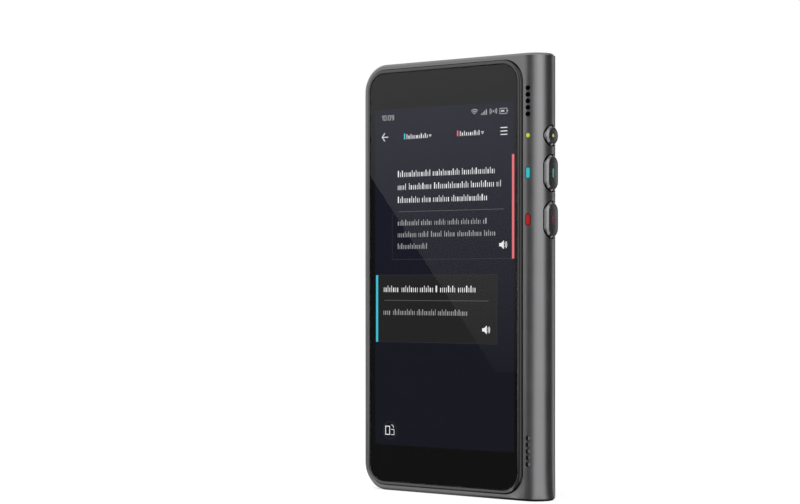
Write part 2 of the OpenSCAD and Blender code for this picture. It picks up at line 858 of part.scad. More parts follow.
module battery() {
    color("#3b3d42") slab(plate_back_y, battery_back_y)
        outline(battery_x0, battery_x1, battery_z0, battery_z1, 1.5, 1.5);
}

// Flat cable that lies on a low face up to z_low, climbs and lies on a high one.
module stepped_flex(x, w, z_end, y_end, z_low, z_high, y_high, z_stop) {
    bar(x - w / 2, x + w / 2) polygon([
        [y_end, z_end],
        [y_end, z_low],
        [y_high, z_high],
        [y_high, z_stop],
        [y_high + flex_t, z_stop],
        [y_high + flex_t, z_high - flex_t],
        [y_end + flex_t, z_low - flex_t],
        [y_end + flex_t, z_end],
    ]);
}

// Mirrors in Z about the middle of the gap above the battery, so the same cable
// shape can come down from the battery onto the board above it.
module flipped(z) {
    translate([0, 0, 2 * z]) mirror([0, 0, 1]) children();
}

module battery_flex() {
    color(flex_amber) flipped(battery_z1)
        stepped_flex(battery_flex_x, battery_flex_w, 2 * battery_z1 - board_z0 - flex_landing,
            board_back_y, battery_z1 - battery_gap - 0.5, battery_z1 - 0.3, battery_back_y,
            battery_z1 + battery_tab_l);
}

module link_flex() {
    color(flex_amber) union() {
        stepped_flex(link_x, link_w, charge_z1 - charge_landing, charge_back_y,
            charge_z1 + 0.2, battery_z0 - 0.1, battery_back_y, battery_mid_z + 1);
        flipped(battery_z1)
            stepped_flex(link_x, link_w, 2 * battery_z1 - board_z0 - flex_landing, board_back_y,
                battery_z1 - battery_gap - 0.5, battery_z1 - 0.3, battery_back_y,
                2 * battery_z1 - battery_mid_z);
    }
}

module charge_board() {
    color(board_green) difference() {
        slab(charge_board_y, charge_back_y) outline(charge_x0, charge_x1, charge_z0,
            charge_z1, 3, 1);
        for (p = CHARGE_POSTS) {
            rod_y(p[0], p[1], screw_d + 4 * screw_fit, charge_board_y - 1, charge_back_y + 1);
        }
    }
}

module usb_shell() {
    color(steel) translate([x_mid, 0, usb_z0]) difference() {
        linear_extrude(usb_l) rotate(90) pill(usb_t, usb_w);
        translate([0, 0, -1]) linear_extrude(usb_l - usb_floor + 1)
            rotate(90) pill(usb_t - 2 * usb_wall, usb_w - 2 * usb_wall);
    }
}

module usb_tongue() {
    color("#1a1a1c") translate([x_mid, 0, usb_z0])
        block([-tongue_w / 2, -tongue_t / 2, tongue_z0],
            [tongue_w / 2, tongue_t / 2, usb_l - usb_floor]);
}

// Flat cable that leaves the panel's foot, passes through the mid plate and
// ends under the charge board.
module display_flex() {
    z_fold = display_slot_z0 + 0.7;
    y_top = panel_back_y - 0.6;
    y_end = charge_board_y - flex_t;
    color(flex_amber) bar(display_flex_x - display_flex_w / 2, display_flex_x + display_flex_w / 2)
        polygon([
            [y_top, panel_z0],
            [y_top, z_fold],
            [y_end, z_fold],
            [y_end, charge_z1 - 1.5],
            [y_end + flex_t, charge_z1 - 1.5],
            [y_end + flex_t, z_fold - flex_t],
            [y_top - flex_t, z_fold - flex_t],
            [y_top - flex_t, panel_z0],
        ]);
}

module antenna() {
    y1 = cover_in_y;
    x0 = cavity_x0 + antenna_margin;
    z0 = camera_z - antenna_drop;
    z1 = cavity_z1 - antenna_margin;
    color("#a8743a") difference() {
        slab(y1 - flex_t, y1) outline(x0, x0 + antenna_w, z0, z1, antenna_r, antenna_r / 2);
        slab(y1 - 1, y1 + 1) outline(x0 + antenna_track, x0 + antenna_w + 1,
            z0 + antenna_track, z1 - antenna_track, antenna_r / 2, antenna_r / 2);
    }
}

// ---- Sound ----

module speaker() {
    snout_y0 = mesh_y + mesh_t;
    snout_x1 = light_x + mesh_w / 2;
    snout_l = grille_l / 2;
    color("#232326") difference() {
        union() {
            slab(plate_back_y, plate_back_y + speaker_t)
                outline(speaker_x0, speaker_x1, speaker_z0, speaker_z1, 1.2, 1.2);
            block([cavity_x1 - 1.5, plate_back_y, GRILLE_Z[0] - snout_l],
                [light_x, 0, GRILLE_Z[0] + snout_l]);
            block([light_x - mesh_w / 2, snout_y0, GRILLE_Z[0] - snout_l],
                [snout_x1 - 0.4, 0, GRILLE_Z[0] + snout_l]);
        }
        block([light_x - mesh_w / 2 + 0.3, snout_y0 - 1, GRILLE_Z[0] - snout_l + 0.4],
            [snout_x1 - 0.7, snout_y0 + 0.9, GRILLE_Z[0] + snout_l - 0.4]);
        slab(plate_back_y + speaker_t - 0.4, plate_back_y + speaker_t + 1)
            outline(speaker_x0 + 1.2, cavity_x1 - 1.5, speaker_z0 + 1.2, speaker_z1 - 1.2, 2, 2);
    }
}

module mesh_strip(z) {
    block([light_x - mesh_w / 2, mesh_y, z - grille_l / 2],
        [light_x + mesh_w / 2, mesh_y + mesh_t, z + grille_l / 2]);
}

module speaker_mesh() {
    color("#1a1a1b") mesh_strip(GRILLE_Z[0]);
}

module mic_mesh() {
    color("#3a3a3c") mesh_strip(GRILLE_Z[1]);
}

module mic_gasket() {
    color("#0f0f10") difference() {
        block([light_x - mesh_w / 2, mesh_y + mesh_t, mic_rise - grille_l / 2],
            [light_x + mesh_w / 2 - 0.4, mic_y0, mic_rise + grille_l / 2]);
        for (z = MIC_Z) rod_y(light_x - 0.1, z, mic_hole_d, mesh_y, mic_y0 + 1);
    }
}

module microphones() {
    color(steel) for (z = MIC_Z) {
        block([light_x - mesh_w / 2, mic_y0, z - mic_l / 2],
            [light_x - mesh_w / 2 + mic_w, mic_board_y, z + mic_l / 2]);
    }
}

module mic_board() {
    color(board_green) block([mic_board_x0, mic_board_y, mic_rise - grille_l / 2 - 0.4],
        [mic_board_x0 + mic_board_w, mic_board_y + mic_board_t, mic_rise + grille_l / 2 + 0.4]);
}

module mic_holder() {
    fit = 0.1;
    y0 = mic_board_y + mic_board_t;
    color("#2a2a2d") intersection() {
        translate([x_axis, 0, 0]) cylinder(h = body_h, r = spine_in_r - fit);
        block([mic_board_x0, y0, mic_rise - grille_l / 2 - 0.8],
            [x_axis + spine_r, spine_r, mic_rise + grille_l / 2 + 0.8]);
    }
}

// ---- Lights ----

// Light guide: flush with the spine outside, with a foot that reaches its LED.
module light_guide(z, l) {
    skin = 0.02;
    intersection() {
        union() {
            slab(y_front - 1, light_foot_y) translate([light_x, z]) pill(light_w, l);
            intersection() {
                block([switch_x0, light_foot_y, z - led_l / 2],
                    [light_x + light_w / 2, led_y0, z + led_l / 2]);
                translate([x_axis, 0, 0]) cylinder(h = body_h, r = spine_in_r - skin);
            }
        }
        translate([x_axis, 0, 0]) cylinder(h = body_h, r = spine_r - skin);
    }
}

module power_light() {
    color("#dce150") light_guide(power_z, light_w);
}

module teal_light() {
    color("#28c8c8") light_guide(teal_z, light_l);
}

module red_light() {
    color("#be1414") light_guide(red_z, light_l);
}

module indicator_leds() {
    color("#f0f0e8") for (z = KEY_Z) {
        block([switch_x0, led_y0, z - led_l / 2],
            [switch_x0 + led_t, led_y0 + led_w, z + led_l / 2]);
    }
}

// ---- Keys ----

module key_board() {
    color(board_green) block([key_board_x0, -key_board_w / 2, key_board_z0],
        [switch_x0, key_board_w / 2, key_board_z1]);
}

module key_flex() {
    color(flex_amber) block([board_x1 - 2, board_back_y, key_flex_z0],
        [key_board_x0, board_back_y + flex_t, key_flex_z0 + key_flex_w]);
}

module key_bracket() {
    color(steel) difference() {
        block([bracket_x0, -bracket_w / 2, bracket_z0],
            [key_board_x0, bracket_w / 2, key_board_z1]);
        for (z = [(power_z + teal_z) / 2, (teal_z + red_z) / 2]) {
            translate([0, 0, z]) bar(bracket_x0 - 1, key_board_x0 + 1) pill(bracket_slot_w, bracket_slot_l);
        }
    }
}

module switch_body(z) {
    color("#3c3c40") difference() {
        block([switch_x0, -switch_w / 2, z - switch_l / 2],
            [switch_x1, switch_w / 2, z + switch_l / 2]);
        rod_x(z, plunger_d + 2 * plunger_fit, plunger_x0 - key_travel - 0.05, switch_x1 + 1);
    }
}

module power_switch() {
    switch_body(power_z);
}

module teal_switch() {
    switch_body(teal_z);
}

module red_switch() {
    switch_body(red_z);
}

module plunger(z) {
    color("#d8d8d2") rod_x(z, plunger_d, plunger_x0, plunger_x1);
}

module power_plunger() {
    plunger(power_z);
}

module teal_plunger() {
    plunger(teal_z);
}

module red_plunger() {
    plunger(red_z);
}

// Key: a bevelled cap with a shallow recess, two ears behind the wall and a nub
// on the switch.
module key(z, l, inlay_w, inlay_l) {
    bevel_x = cap_x1 - key_bevel;
    r = key_w / 2;
    dish_inset = 2 * (key_bevel + key_edge);
    color("#6a6a6d") translate([0, 0, z]) difference() {
        union() {
            bar(ear_x1, bevel_x) pill(key_w, l);
            for (side = [-1, 1]) {
                translate([bevel_x, 0, side * (l - key_w) / 2]) rotate([0, 90, 0])
                    cylinder(h = key_bevel, r1 = r, r2 = r - key_bevel);
            }
            if (l > key_w) translate([0, 0, -(l - key_w) / 2]) linear_extrude(l - key_w)
                polygon([
                    [bevel_x, -r], [cap_x1, key_bevel - r],
                    [cap_x1, r - key_bevel], [bevel_x, r],
                ]);
            block([ear_x0, -ear_w / 2, -l / 2 - ear_l], [ear_x1, ear_w / 2, l / 2 + ear_l]);
            rod_x(0, nub_d, nub_x0, ear_x0);
        }
        bar(cap_x1 - mark_depth, cap_x1 + 1) pill(inlay_w, inlay_l);
        bar(cap_x1 - key_dish, cap_x1 + 1) pill(key_w - dish_inset, l - dish_inset);
    }
}

module power_key() {
    key(power_z, key_w, power_mark_d, power_mark_d);
}

module teal_key() {
    key(teal_z, key_l, mark_w, mark_l);
}

module red_key() {
    key(red_z, key_l, mark_w, mark_l);
}

module mark(z, w, l) {
    translate([0, 0, z]) bar(cap_x1 - mark_depth, cap_x1 - key_dish) pill(w, l);
}

module power_mark() {
    color("#dce150") mark(power_z, power_mark_d, power_mark_d);
}

module teal_mark() {
    color("#28c8c8") mark(teal_z, mark_w, mark_l);
}

module red_mark() {
    color("#be1414") mark(red_z, mark_w, mark_l);
}

frame_housing();
screen_surround();
cover_glass();
display_panel();
display_tray();
mid_plate();
back_cover();
back_adhesive();
camera_ring();
camera_window();
camera_module();
flash_window();
flash_led();
main_board();
board_chips();
shield_cans();
board_connectors();
board_screws();
battery();
battery_flex();
link_flex();
charge_board();
usb_shell();
usb_tongue();
display_flex();
antenna();
speaker();
speaker_mesh();
mic_mesh();
mic_gasket();
microphones();
mic_board();
mic_holder();
power_light();
teal_light();
red_light();
indicator_leds();
key_board();
key_flex();
key_bracket();
power_switch();
teal_switch();
red_switch();
power_plunger();
teal_plunger();
red_plunger();
power_key();
teal_key();
red_key();
power_mark();
teal_mark();
red_mark();
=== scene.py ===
# %% [markdown]
# # Dressing a handheld translator
# A CAD model gives a device its sizes and its moving parts. What it lacks is everything that light
# shows: a satin coat on metal, a polished edge on glass, a lit screen under it. This lesson adds
# those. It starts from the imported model, whose parts stay where they are, in metres, with the
# screen facing -Y, the round spine towards +X and +Z up.

import json
import math

import bmesh
import bpy
import numpy as np
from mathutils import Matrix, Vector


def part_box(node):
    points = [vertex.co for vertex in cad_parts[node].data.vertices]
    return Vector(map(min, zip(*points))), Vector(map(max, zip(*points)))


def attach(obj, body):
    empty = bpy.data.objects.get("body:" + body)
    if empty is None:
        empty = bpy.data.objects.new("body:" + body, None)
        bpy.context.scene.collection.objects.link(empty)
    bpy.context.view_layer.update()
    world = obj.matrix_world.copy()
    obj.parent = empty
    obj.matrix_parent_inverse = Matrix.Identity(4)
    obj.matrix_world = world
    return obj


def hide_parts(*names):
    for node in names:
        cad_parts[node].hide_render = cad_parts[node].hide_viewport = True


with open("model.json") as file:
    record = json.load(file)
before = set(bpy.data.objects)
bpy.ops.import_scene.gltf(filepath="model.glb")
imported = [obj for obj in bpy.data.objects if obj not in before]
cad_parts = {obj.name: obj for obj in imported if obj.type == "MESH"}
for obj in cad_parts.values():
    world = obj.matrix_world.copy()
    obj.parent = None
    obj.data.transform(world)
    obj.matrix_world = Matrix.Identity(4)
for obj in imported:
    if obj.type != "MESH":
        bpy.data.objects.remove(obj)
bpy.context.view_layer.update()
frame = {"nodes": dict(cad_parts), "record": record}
nodes = frame["nodes"]
MM = 0.001

# %% [markdown]
# ## Points, faces and pieces
# Every new piece is a grid of points, worked out with numpy as whole arrays. A grid that closes on
# itself one way is a tube, and one that closes both ways is a ring. Modelling by hand in edit mode
# would do for one piece, but here the sizes come from the CAD parts, so a formula keeps them in
# step.


# %% Grids
def grid_faces(rows, columns, ring):
    """Quads between neighbours of a grid of points. The columns always close on themselves: the
    last joins the first. The rows do so too where ring is true, and otherwise the two ends get a
    cap."""
    i, j = np.meshgrid(
        np.arange(rows if ring else rows - 1), np.arange(columns), indexing="ij"
    )
    down, across = (i + 1) % rows, (j + 1) % columns
    quads = np.stack(
        [i * columns + j, down * columns + j, down * columns + across, i * columns + across], -1
    )
    faces = quads.reshape(-1, 4).tolist()
    if not ring:
        faces.append(list(range(columns))[::-1])
        faces.append(list(range((rows - 1) * columns, rows * columns)))
    return faces


def loft(loops, ring=False):
    """A skin over a stack of closed loops that all have the same number of points."""
    loops = np.asarray(loops, float)
    return loops.reshape(-1, 3), grid_faces(loops.shape[0], loops.shape[1], ring)


def join(parts):
    """Several skins as one: the points follow each other and each face's numbers move along."""
    points = np.concatenate([p for p, _ in parts])
    starts = np.cumsum([0] + [len(p) for p, _ in parts[:-1]])
    faces = [[int(start) + n for n in face] for start, (_, fs) in zip(starts, parts) for face in fs]
    return points, faces


def corners(node):
    """Lowest and highest corner of a CAD node, in millimetres."""
    low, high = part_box(node)
    return np.array(low) / MM, np.array(high) / MM


def face_middle(node):
    """X and Z of the middle of a CAD node."""
    low, high = corners(node)
    return (low[0] + high[0]) / 2, (low[2] + high[2]) / 2


# %% Pieces
MERGE_DISTANCE = 1e-7


def new_object(name, data):
    """An object in the scene, at the origin, that holds this data."""
    made = bpy.data.objects.new(name, data)
    bpy.context.scene.collection.objects.link(made)
    return made


def make_piece(name, skin, material, body="root", replaces=(), smooth_angle=30):
    """Makes a mesh object of a skin in millimetres. Points that coincide are merged, the faces are
    turned outwards, and edges flatter than smooth_angle degrees are shaded smooth. A cap stays
    flat, so that it mirrors straight lines as straight."""
    points, faces = skin
    mesh = bpy.data.meshes.new(name)
    mesh.from_pydata((points * MM).tolist(), [], faces)
    shape = bmesh.new()
    shape.from_mesh(mesh)
    bmesh.ops.remove_doubles(shape, verts=shape.verts, dist=MERGE_DISTANCE)
    bmesh.ops.dissolve_degenerate(shape, edges=shape.edges, dist=MERGE_DISTANCE)
    bmesh.ops.recalc_face_normals(shape, faces=shape.faces)
    limit = math.radians(smooth_angle)
    for edge in shape.edges:
        edge.smooth = len(edge.link_faces) == 2 and edge.calc_face_angle(0) < limit
    for face in shape.faces:
        face.smooth = len(face.verts) <= 4
    shape.to_mesh(mesh)
    shape.free()
    mesh.materials.append(material)
    piece = new_object(name, mesh)
    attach(piece, body)
    if replaces:
        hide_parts(*replaces)
    print(f"{name}: {len(mesh.vertices)} points, {len(mesh.polygons)} faces")


# %% [markdown]
# ## Outlines
# Nearly everything on this device is a rectangle with round corners or a round-ended slot. Both are
# one path of points with the direction that points outwards at each of them, so an edge profile can
# be carried along it: the profile's first number moves a point outwards and its second moves it
# along the third axis.


# %% Paths
def rounded_rectangle(x0, x1, z0, z1, radius, steps):
    """Each corner is a quarter circle: its centre plus the radius times (cos a, sin a). The
    straight sides are what joins one quarter to the next. Gives the points and their outward
    directions."""
    turn = np.linspace(0, math.pi / 2, steps)
    angle = np.concatenate([turn + quarter * math.pi / 2 for quarter in range(4)])
    outward = np.stack([np.cos(angle), np.sin(angle)], 1)
    centre_x = np.repeat([x1 - radius, x0 + radius, x0 + radius, x1 - radius], steps)
    centre_z = np.repeat([z1 - radius, z1 - radius, z0 + radius, z0 + radius], steps)
    return np.stack([centre_x, centre_z], 1) + radius * outward, outward


# %% Carrying a profile
def on_front(path, height):
    """Path in X and Z, height along Y: for what lies in the screen's plane."""
    return np.stack([path[:, 0], np.broadcast_to(height, len(path)), path[:, 1]], 1)


def on_spine(path, height):
    """Path in Y and Z, height along X: for what sits on the crown of the spine."""
    return np.stack([np.broadcast_to(height, len(path)), path[:, 0], path[:, 1]], 1)


def carry(path, outward, profile):
    """Loops in the screen's plane: point plus outward direction times the profile's first number,
    with its second number as the depth."""
    return [on_front(path + outward * offset, depth) for offset, depth in profile]


# %% Turning a profile
def full_turn(steps):
    """Angles evenly round a circle, without the last one that would repeat the first."""
    return np.linspace(0, 2 * math.pi, steps, endpoint=False)


TURN_STEPS = 72


def lathe(x, z, profile, ring=False):
    """Turns a profile of (radius, y) pairs round an axis along Y through (x, z): the point at angle
    a is x plus radius times cos a, y, z plus radius times sin a. A profile that closes on itself is
    a ring."""
    angle = full_turn(TURN_STEPS)
    circle = np.stack([np.cos(angle), np.sin(angle)], 1)
    return loft([on_front((x, z) + r * circle, y) for r, y in profile], ring)


# %% [markdown]
# ## Building a finish
# A finish is a small tree of nodes round one Principled shader. What is the same all over the
# surface is set on the shader's own sockets. What varies comes from noise that reads Object
# coordinates, which are metres here, so a grain of 0.2 mm is a noise with a scale of about 5000.


# %% Finish helpers
def new_finish(name, **sockets):
    """A material whose Principled shader has these socket values, such as Base_Color or
    Roughness."""
    material = bpy.data.materials.new(name)
    material.use_nodes = True
    shader = material.node_tree.nodes["Principled BSDF"]
    for socket, value in sockets.items():
        shader.inputs[socket.replace("_", " ")].default_value = value
    print("finish", name)
    return material


def grain_noise(material, size_mm, detail=2.0):
    """Noise with a grain of about this many millimetres, read from Object coordinates."""
    tree = material.node_tree
    place = tree.nodes.new("ShaderNodeTexCoord")
    noise = tree.nodes.new("ShaderNodeTexNoise")
    noise.inputs["Scale"].default_value = 1 / (size_mm * MM)
    noise.inputs["Detail"].default_value = detail
    tree.links.new(place.outputs["Object"], noise.inputs["Vector"])
    return noise.outputs["Fac"]


def object_axes(tree):
    """X, Y and Z of a point on the piece, in metres."""
    place = tree.nodes.new("ShaderNodeTexCoord")
    split = tree.nodes.new("ShaderNodeSeparateXYZ")
    tree.links.new(place.outputs["Object"], split.inputs[0])
    return split.outputs


# %% Ramps and spans
def ramp(material, value, stops):
    """A colour ramp over a value. stops are (position, (r, g, b)) pairs."""
    node = material.node_tree.nodes.new("ShaderNodeValToRGB")
    elements = node.color_ramp.elements
    while len(elements) < len(stops):
        elements.new(0.5)
    for element, (position, colour) in zip(elements, stops):
        element.position = position
        element.color = (*colour, 1)
    material.node_tree.links.new(value, node.inputs["Fac"])
    return node.outputs["Color"]


NOISE_SPAN = (0.3, 0.7)


def mapped(owner, value, low, high, source=NOISE_SPAN):
    """Maps a value from the source span to low..high, in the tree of a material or a world. Most
    of a noise lies in the usual span."""
    node = owner.node_tree.nodes.new("ShaderNodeMapRange")
    for socket, number in zip(("From Min", "From Max", "To Min", "To Max"), (*source, low, high)):
        node.inputs[socket].default_value = number
    owner.node_tree.links.new(value, node.inputs["Value"])
    return node.outputs["Result"]


# %% Feeding the shader
def feed(material, socket, value):
    """Links a value to a socket of the material's Principled shader."""
    shader = material.node_tree.nodes["Principled BSDF"]
    material.node_tree.links.new(value, shader.inputs[socket])


def tint(material, socket, value, first, last):
    """A colour that drifts from the first to the last as a noise does."""
    feed(material, socket, ramp(material, value, list(zip(NOISE_SPAN, (first, last)))))


def roughen(material, value, depth_mm, strength):
    """Bump from a value: depth_mm is how far its full span stands out, strength how much of it is
    shown."""
    bump = material.node_tree.nodes.new("ShaderNodeBump")
    bump.inputs["Strength"].default_value = strength
    bump.inputs["Distance"].default_value = depth_mm * MM
    material.node_tree.links.new(value, bump.inputs["Height"])
    feed(material, "Normal", bump.outputs["Normal"])


# %% Clouded finishes
def shade(colour, factor):
    """A colour made lighter or darker."""
    return tuple(min(1.0, channel * factor) for channel in colour)


def clouded(name, colour, roughness, cloud_mm, spread=0.1, roughness_spread=0.05, **sockets):
    """A finish with the two usual variations: clouds of this size shift its colour by a share and
    its roughness by a step."""
    material = new_finish(name, **sockets)
    drift = grain_noise(material, cloud_mm)
    tint(material, "Base Color", drift, shade(colour, 1 - spread), shade(colour, 1 + spread))
    feed(
        material, "Roughness",
        mapped(material, drift, roughness - roughness_spread, roughness + roughness_spread),
    )
    return material


# %% [markdown]
# ## Anodised metal
# The frame and the keys are aluminium, blasted with fine beads and anodised grey. Blasting leaves
# pits of about a tenth of a millimetre that spread a reflection into a soft band, while the colour
# stays even. An image of metal could be wrapped round the spine, but noise needs no unwrapping and
# has no seam.

# %% Metal finishes
def anodised(name, colour, roughness):
    """Satin anodised aluminium: even colour, fine blasted pits, a slow drift in gloss."""
    material = clouded(
        name, colour, roughness, cloud_mm=6.0, spread=0.03, roughness_spread=0.02, Metallic=1.0
    )
    roughen(material, grain_noise(material, 0.12, 1.0), depth_mm=0.004, strength=0.35)
    return material


METAL = (0.225, 0.225, 0.23)
frame_metal = anodised("frame_anodised", METAL, 0.34)
key_metal = anodised("key_anodised", METAL, 0.2)
trim_metal = anodised("trim_anodised", (0.22, 0.22, 0.225), 0.25)

# %% [markdown]
# ## Moulded plastics, rubber and foam
# The surround and the back cover are dark plastics with a satin skin. A moulded skin is an even
# colour with a very fine texture from the mould, so the noise goes mostly into the bump and the
# gloss.

# %% Plastic finishes
def moulded(name, colour, roughness, grain_mm=0.08, depth_mm=0.004, **sockets):
    """Moulded plastic with the fine texture of its mould."""
    material = clouded(
        name, colour, roughness, cloud_mm=9.0, spread=0.04, roughness_spread=0.04, **sockets
    )
    roughen(material, grain_noise(material, grain_mm, 1.0), depth_mm, strength=0.4)
    return material


surround_plastic = moulded("surround_satin", (0.013, 0.013, 0.014), 0.15, Specular_IOR_Level=1.0)
cover_plastic = moulded("cover_soft_touch", (0.056, 0.056, 0.06), 0.5)
black_plastic = moulded("black_moulding", (0.014, 0.014, 0.016), 0.45)
foam = moulded("black_foam", (0.01, 0.01, 0.01), 0.9, grain_mm=0.15, depth_mm=0.03)
switch_plastic = moulded("switch_moulding", (0.05, 0.05, 0.055), 0.5)
plunger_plastic = moulded("plunger_nylon", (0.62, 0.62, 0.57), 0.45)
battery_wrap = moulded("battery_film", (0.05, 0.052, 0.06), 0.3, grain_mm=0.6, depth_mm=0.01)

# %% [markdown]
# ## Inside metals and films
# The parts inside are seldom seen, but they keep honest finishes: rolled steel, cast alloy, green
# solder mask and amber film.

# %% Inner finishes
def rolled(name, colour, roughness, metallic=1.0):
    """Rolled or cast metal, or a film or mask, with a faint cloudiness."""
    return clouded(
        name, colour, roughness, cloud_mm=2.0, spread=0.08, roughness_spread=0.06, Metallic=metallic
    )


steel = rolled("plain_steel", (0.5, 0.51, 0.52), 0.3)
cast_alloy = rolled("cast_alloy", (0.28, 0.29, 0.3), 0.45)
black_weave = rolled("black_weave", (0.012, 0.012, 0.012), 0.5)
grey_weave = rolled("grey_weave", (0.16, 0.16, 0.162), 0.4)
solder_mask = rolled("solder_mask", (0.02, 0.09, 0.055), 0.35, 0.0)
amber_film = rolled("amber_film", (0.3, 0.14, 0.03), 0.3, 0.0)
led_body = rolled("led_body", (0.75, 0.72, 0.5), 0.4, 0.0)

# %% Give the CAD nodes their finishes
FINISHES = {
    "anodised_metal": frame_metal, "key_metal": key_metal, "surround_plastic": surround_plastic,
    "screen_glass": black_plastic, "display": black_plastic, "steel": steel,
    "cast_alloy": cast_alloy, "cover_plastic": cover_plastic, "black_foam": foam,
    "trim_metal": trim_metal, "black_glass": black_plastic, "black_plastic": black_plastic,
    "flash_diffuser": plunger_plastic, "led": led_body, "circuit_board": solder_mask,
    "battery_wrap": battery_wrap, "flex_film": amber_film, "black_mesh": black_weave,
    "grey_mesh": grey_weave, "switch_plastic": switch_plastic, "plunger_plastic": plunger_plastic,
}
slots = {part["node"]: part["material_slot"] for part in frame["record"]["subparts"]}


def give(node, material):
    """A CAD node keeps its mesh and takes a new material."""
    nodes[node].data.materials.clear()
    nodes[node].data.materials.append(material)


for node, slot in slots.items():
    give(node, FINISHES.get(slot, black_plastic))
print("finishes given to", len(slots), "nodes")

# %% [markdown]
# ## Lit parts
# Three light guides on the spine glow yellow, teal and red, and a small inlay in each key has its
# colour, with a faint painted glow. A light guide is brightest over its LED and falls off towards
# its rim, so the glow follows the distance from the middle line of the slot.


# %% Glow of the light guides
def math_node(tree, operation, first, second=0.0, clamp=False):
    """One step of arithmetic in a node tree, on numbers or on what other nodes give."""
    node = tree.nodes.new("ShaderNodeMath")
    node.operation = operation
    node.use_clamp = clamp
    for socket, value in zip(node.inputs, (first, second)):
        if isinstance(value, (int, float)):
            socket.default_value = value
        else:
            tree.links.new(value, socket)
    return node.outputs[0]


def slot_distance(material, centre, half_straight, radius):
    """Distance from a slot's middle line in the plane of its face, as a share of its radius: 1 at
    the rim. The distance is the square root of a squared plus b squared, where a is the offset
    across the slot and b is how far the point lies beyond the straight part."""
    tree = material.node_tree
    axes = object_axes(tree)
    a = math_node(tree, "SUBTRACT", axes["X"], centre[0] * MM)
    along = math_node(tree, "ABSOLUTE", math_node(tree, "SUBTRACT", axes["Z"], centre[1] * MM))
    b = math_node(tree, "MAXIMUM", math_node(tree, "SUBTRACT", along, half_straight * MM), 0.0)
    squares = math_node(
        tree, "ADD", math_node(tree, "MULTIPLY", a, a), math_node(tree, "MULTIPLY", b, b)
    )
    return math_node(tree, "DIVIDE", math_node(tree, "SQRT", squares), radius * MM)


# %% Light guides
LIGHT_W, GLOW = 1.5, 0.75


def glowing(name, node, colour, rim):
    """Frosted light guide over an LED: even light in the middle that fades to a dark rim. Its base
    colour repeats that glow, darker, as painted glow.
    """
    low, high = corners(node)
    centre = (high[0] - LIGHT_W / 2, (low[2] + high[2]) / 2)
    straight = (high[2] - low[2] - LIGHT_W) / 2
    material = new_finish(name, Roughness=0.3, Emission_Strength=GLOW)
    share = slot_distance(material, centre, straight, LIGHT_W / 2)
    stops = [(0.0, colour), (0.5, shade(colour, 0.92)), (0.8, rim), (1.0, shade(rim, 0.5))]
    feed(material, "Emission Color", ramp(material, share, stops))
    # The base colour follows the glow ramp, so the guide looks lit under the lamps too: painted
    # glow on top of the LED's own light.
    feed(material, "Base Color", ramp(material, share, [(at, shade(c, 0.4)) for at, c in stops]))
    give(node, material)
    print(name, "centre", [round(c, 2) for c in centre], "straight half", round(straight, 2))


glowing("yellow_glow", "power_light", (0.56, 0.61, 0.07), (0.1, 0.11, 0.01))
glowing("teal_glow", "teal_light", (0.025, 0.5, 0.51), (0.003, 0.09, 0.1))
glowing("red_glow", "red_light", (0.4, 0.005, 0.006), (0.1, 0.002, 0.002))


# %% Key inlays
def inlay(name, node, colour, strength):
    """Filled paint inlay: even colour with a slight cloud, and a touch of painted glow, a light
    that paint does not give.
    """
    give(node, clouded(
        name, colour, roughness=0.4, cloud_mm=0.4, spread=0.08,
        Emission_Strength=strength, Emission_Color=(*colour, 1),
    ))


# The inlays' emission is painted glow: paint gives no light of its own.
inlay("yellow_inlay", "power_mark", (0.46, 0.51, 0.15), 0.3)
inlay("teal_inlay", "teal_mark", (0.07, 0.33, 0.27), 0.15)
inlay("red_inlay", "red_mark", (0.2, 0.004, 0.012), 0.05)

# %% [markdown]
# ## Key faces
# A fingertip finds a key by its form, so each face is not flat but swells a little inside its
# raised edge. A swelling of a few hundredths of a millimetre is enough: the far side of it turns
# towards the light, and the face gets paler from left to right.

# %% Domed key faces
KEY_W, KEY_L = 5.1, 9.3
KEY_BEVEL, KEY_RIM, KEY_DISH = 0.45, 0.18, 0.08
PAD_PLAY, PAD_LIFT, PAD_EDGE, PAD_RISE = 0.02, 0.003, 0.004, 0.055
PAD_STEPS = 14
ROUND_END = 0.999


def slot_path(half, z, reach):
    """Outline of a round-ended slot on the spine. Its radius stays a hair under half its width, so
    that no two corners meet in one point."""
    return rounded_rectangle(-half, half, z - reach, z + reach, half * ROUND_END, PAD_STEPS)[0]


# %% Key faces round their marks
def key_pad(key, mark, length):
    """Pad that lies in the shallow recess of a key's face, round its mark. At a distance d from the
    key's middle line it stands out by the rise times (1 less d squared over half the width
    squared)."""
    high = corners(key)[1]
    mark_low, mark_high = corners(mark)
    z = (mark_low[2] + mark_high[2]) / 2
    inset = KEY_BEVEL + KEY_RIM
    half = KEY_W / 2 - inset - PAD_PLAY
    reach = length / 2 - inset - PAD_PLAY
    hole = (mark_high - mark_low) / 2 + PAD_PLAY
    outer, inner = slot_path(half, z, reach), slot_path(hole[1], z, hole[2])
    floor_x = high[0] - KEY_DISH + PAD_LIFT
    loops = [on_spine(outer, floor_x)]
    for t in np.linspace(0, 1, PAD_STEPS):
        path = outer * (1 - t) + inner * t
        beyond = (np.abs(path[:, 1] - z) - (reach - half)).clip(0)
        swell = PAD_RISE * (1 - (path[:, 0] ** 2 + beyond**2) / half**2).clip(0)
        loops.append(on_spine(path, floor_x + PAD_EDGE + swell))
    return loft([*loops, on_spine(inner, floor_x)], ring=True)


for key_name, length in (("power", KEY_W), ("teal", KEY_L), ("red", KEY_L)):
    make_piece(
        f"{key_name}_key_face", key_pad(f"{key_name}_key", f"{key_name}_mark", length), key_metal,
        body=f"{key_name}_key",
    )

# %% [markdown]
# ## The cover glass
# The glass is one clear sheet with a softly rounded front edge. Black ink on its back hides
# everything but the picture. A flat box would show a hard corner, so the rounded edge is a profile
# carried round the outline: a quarter circle from the front face down to the side.

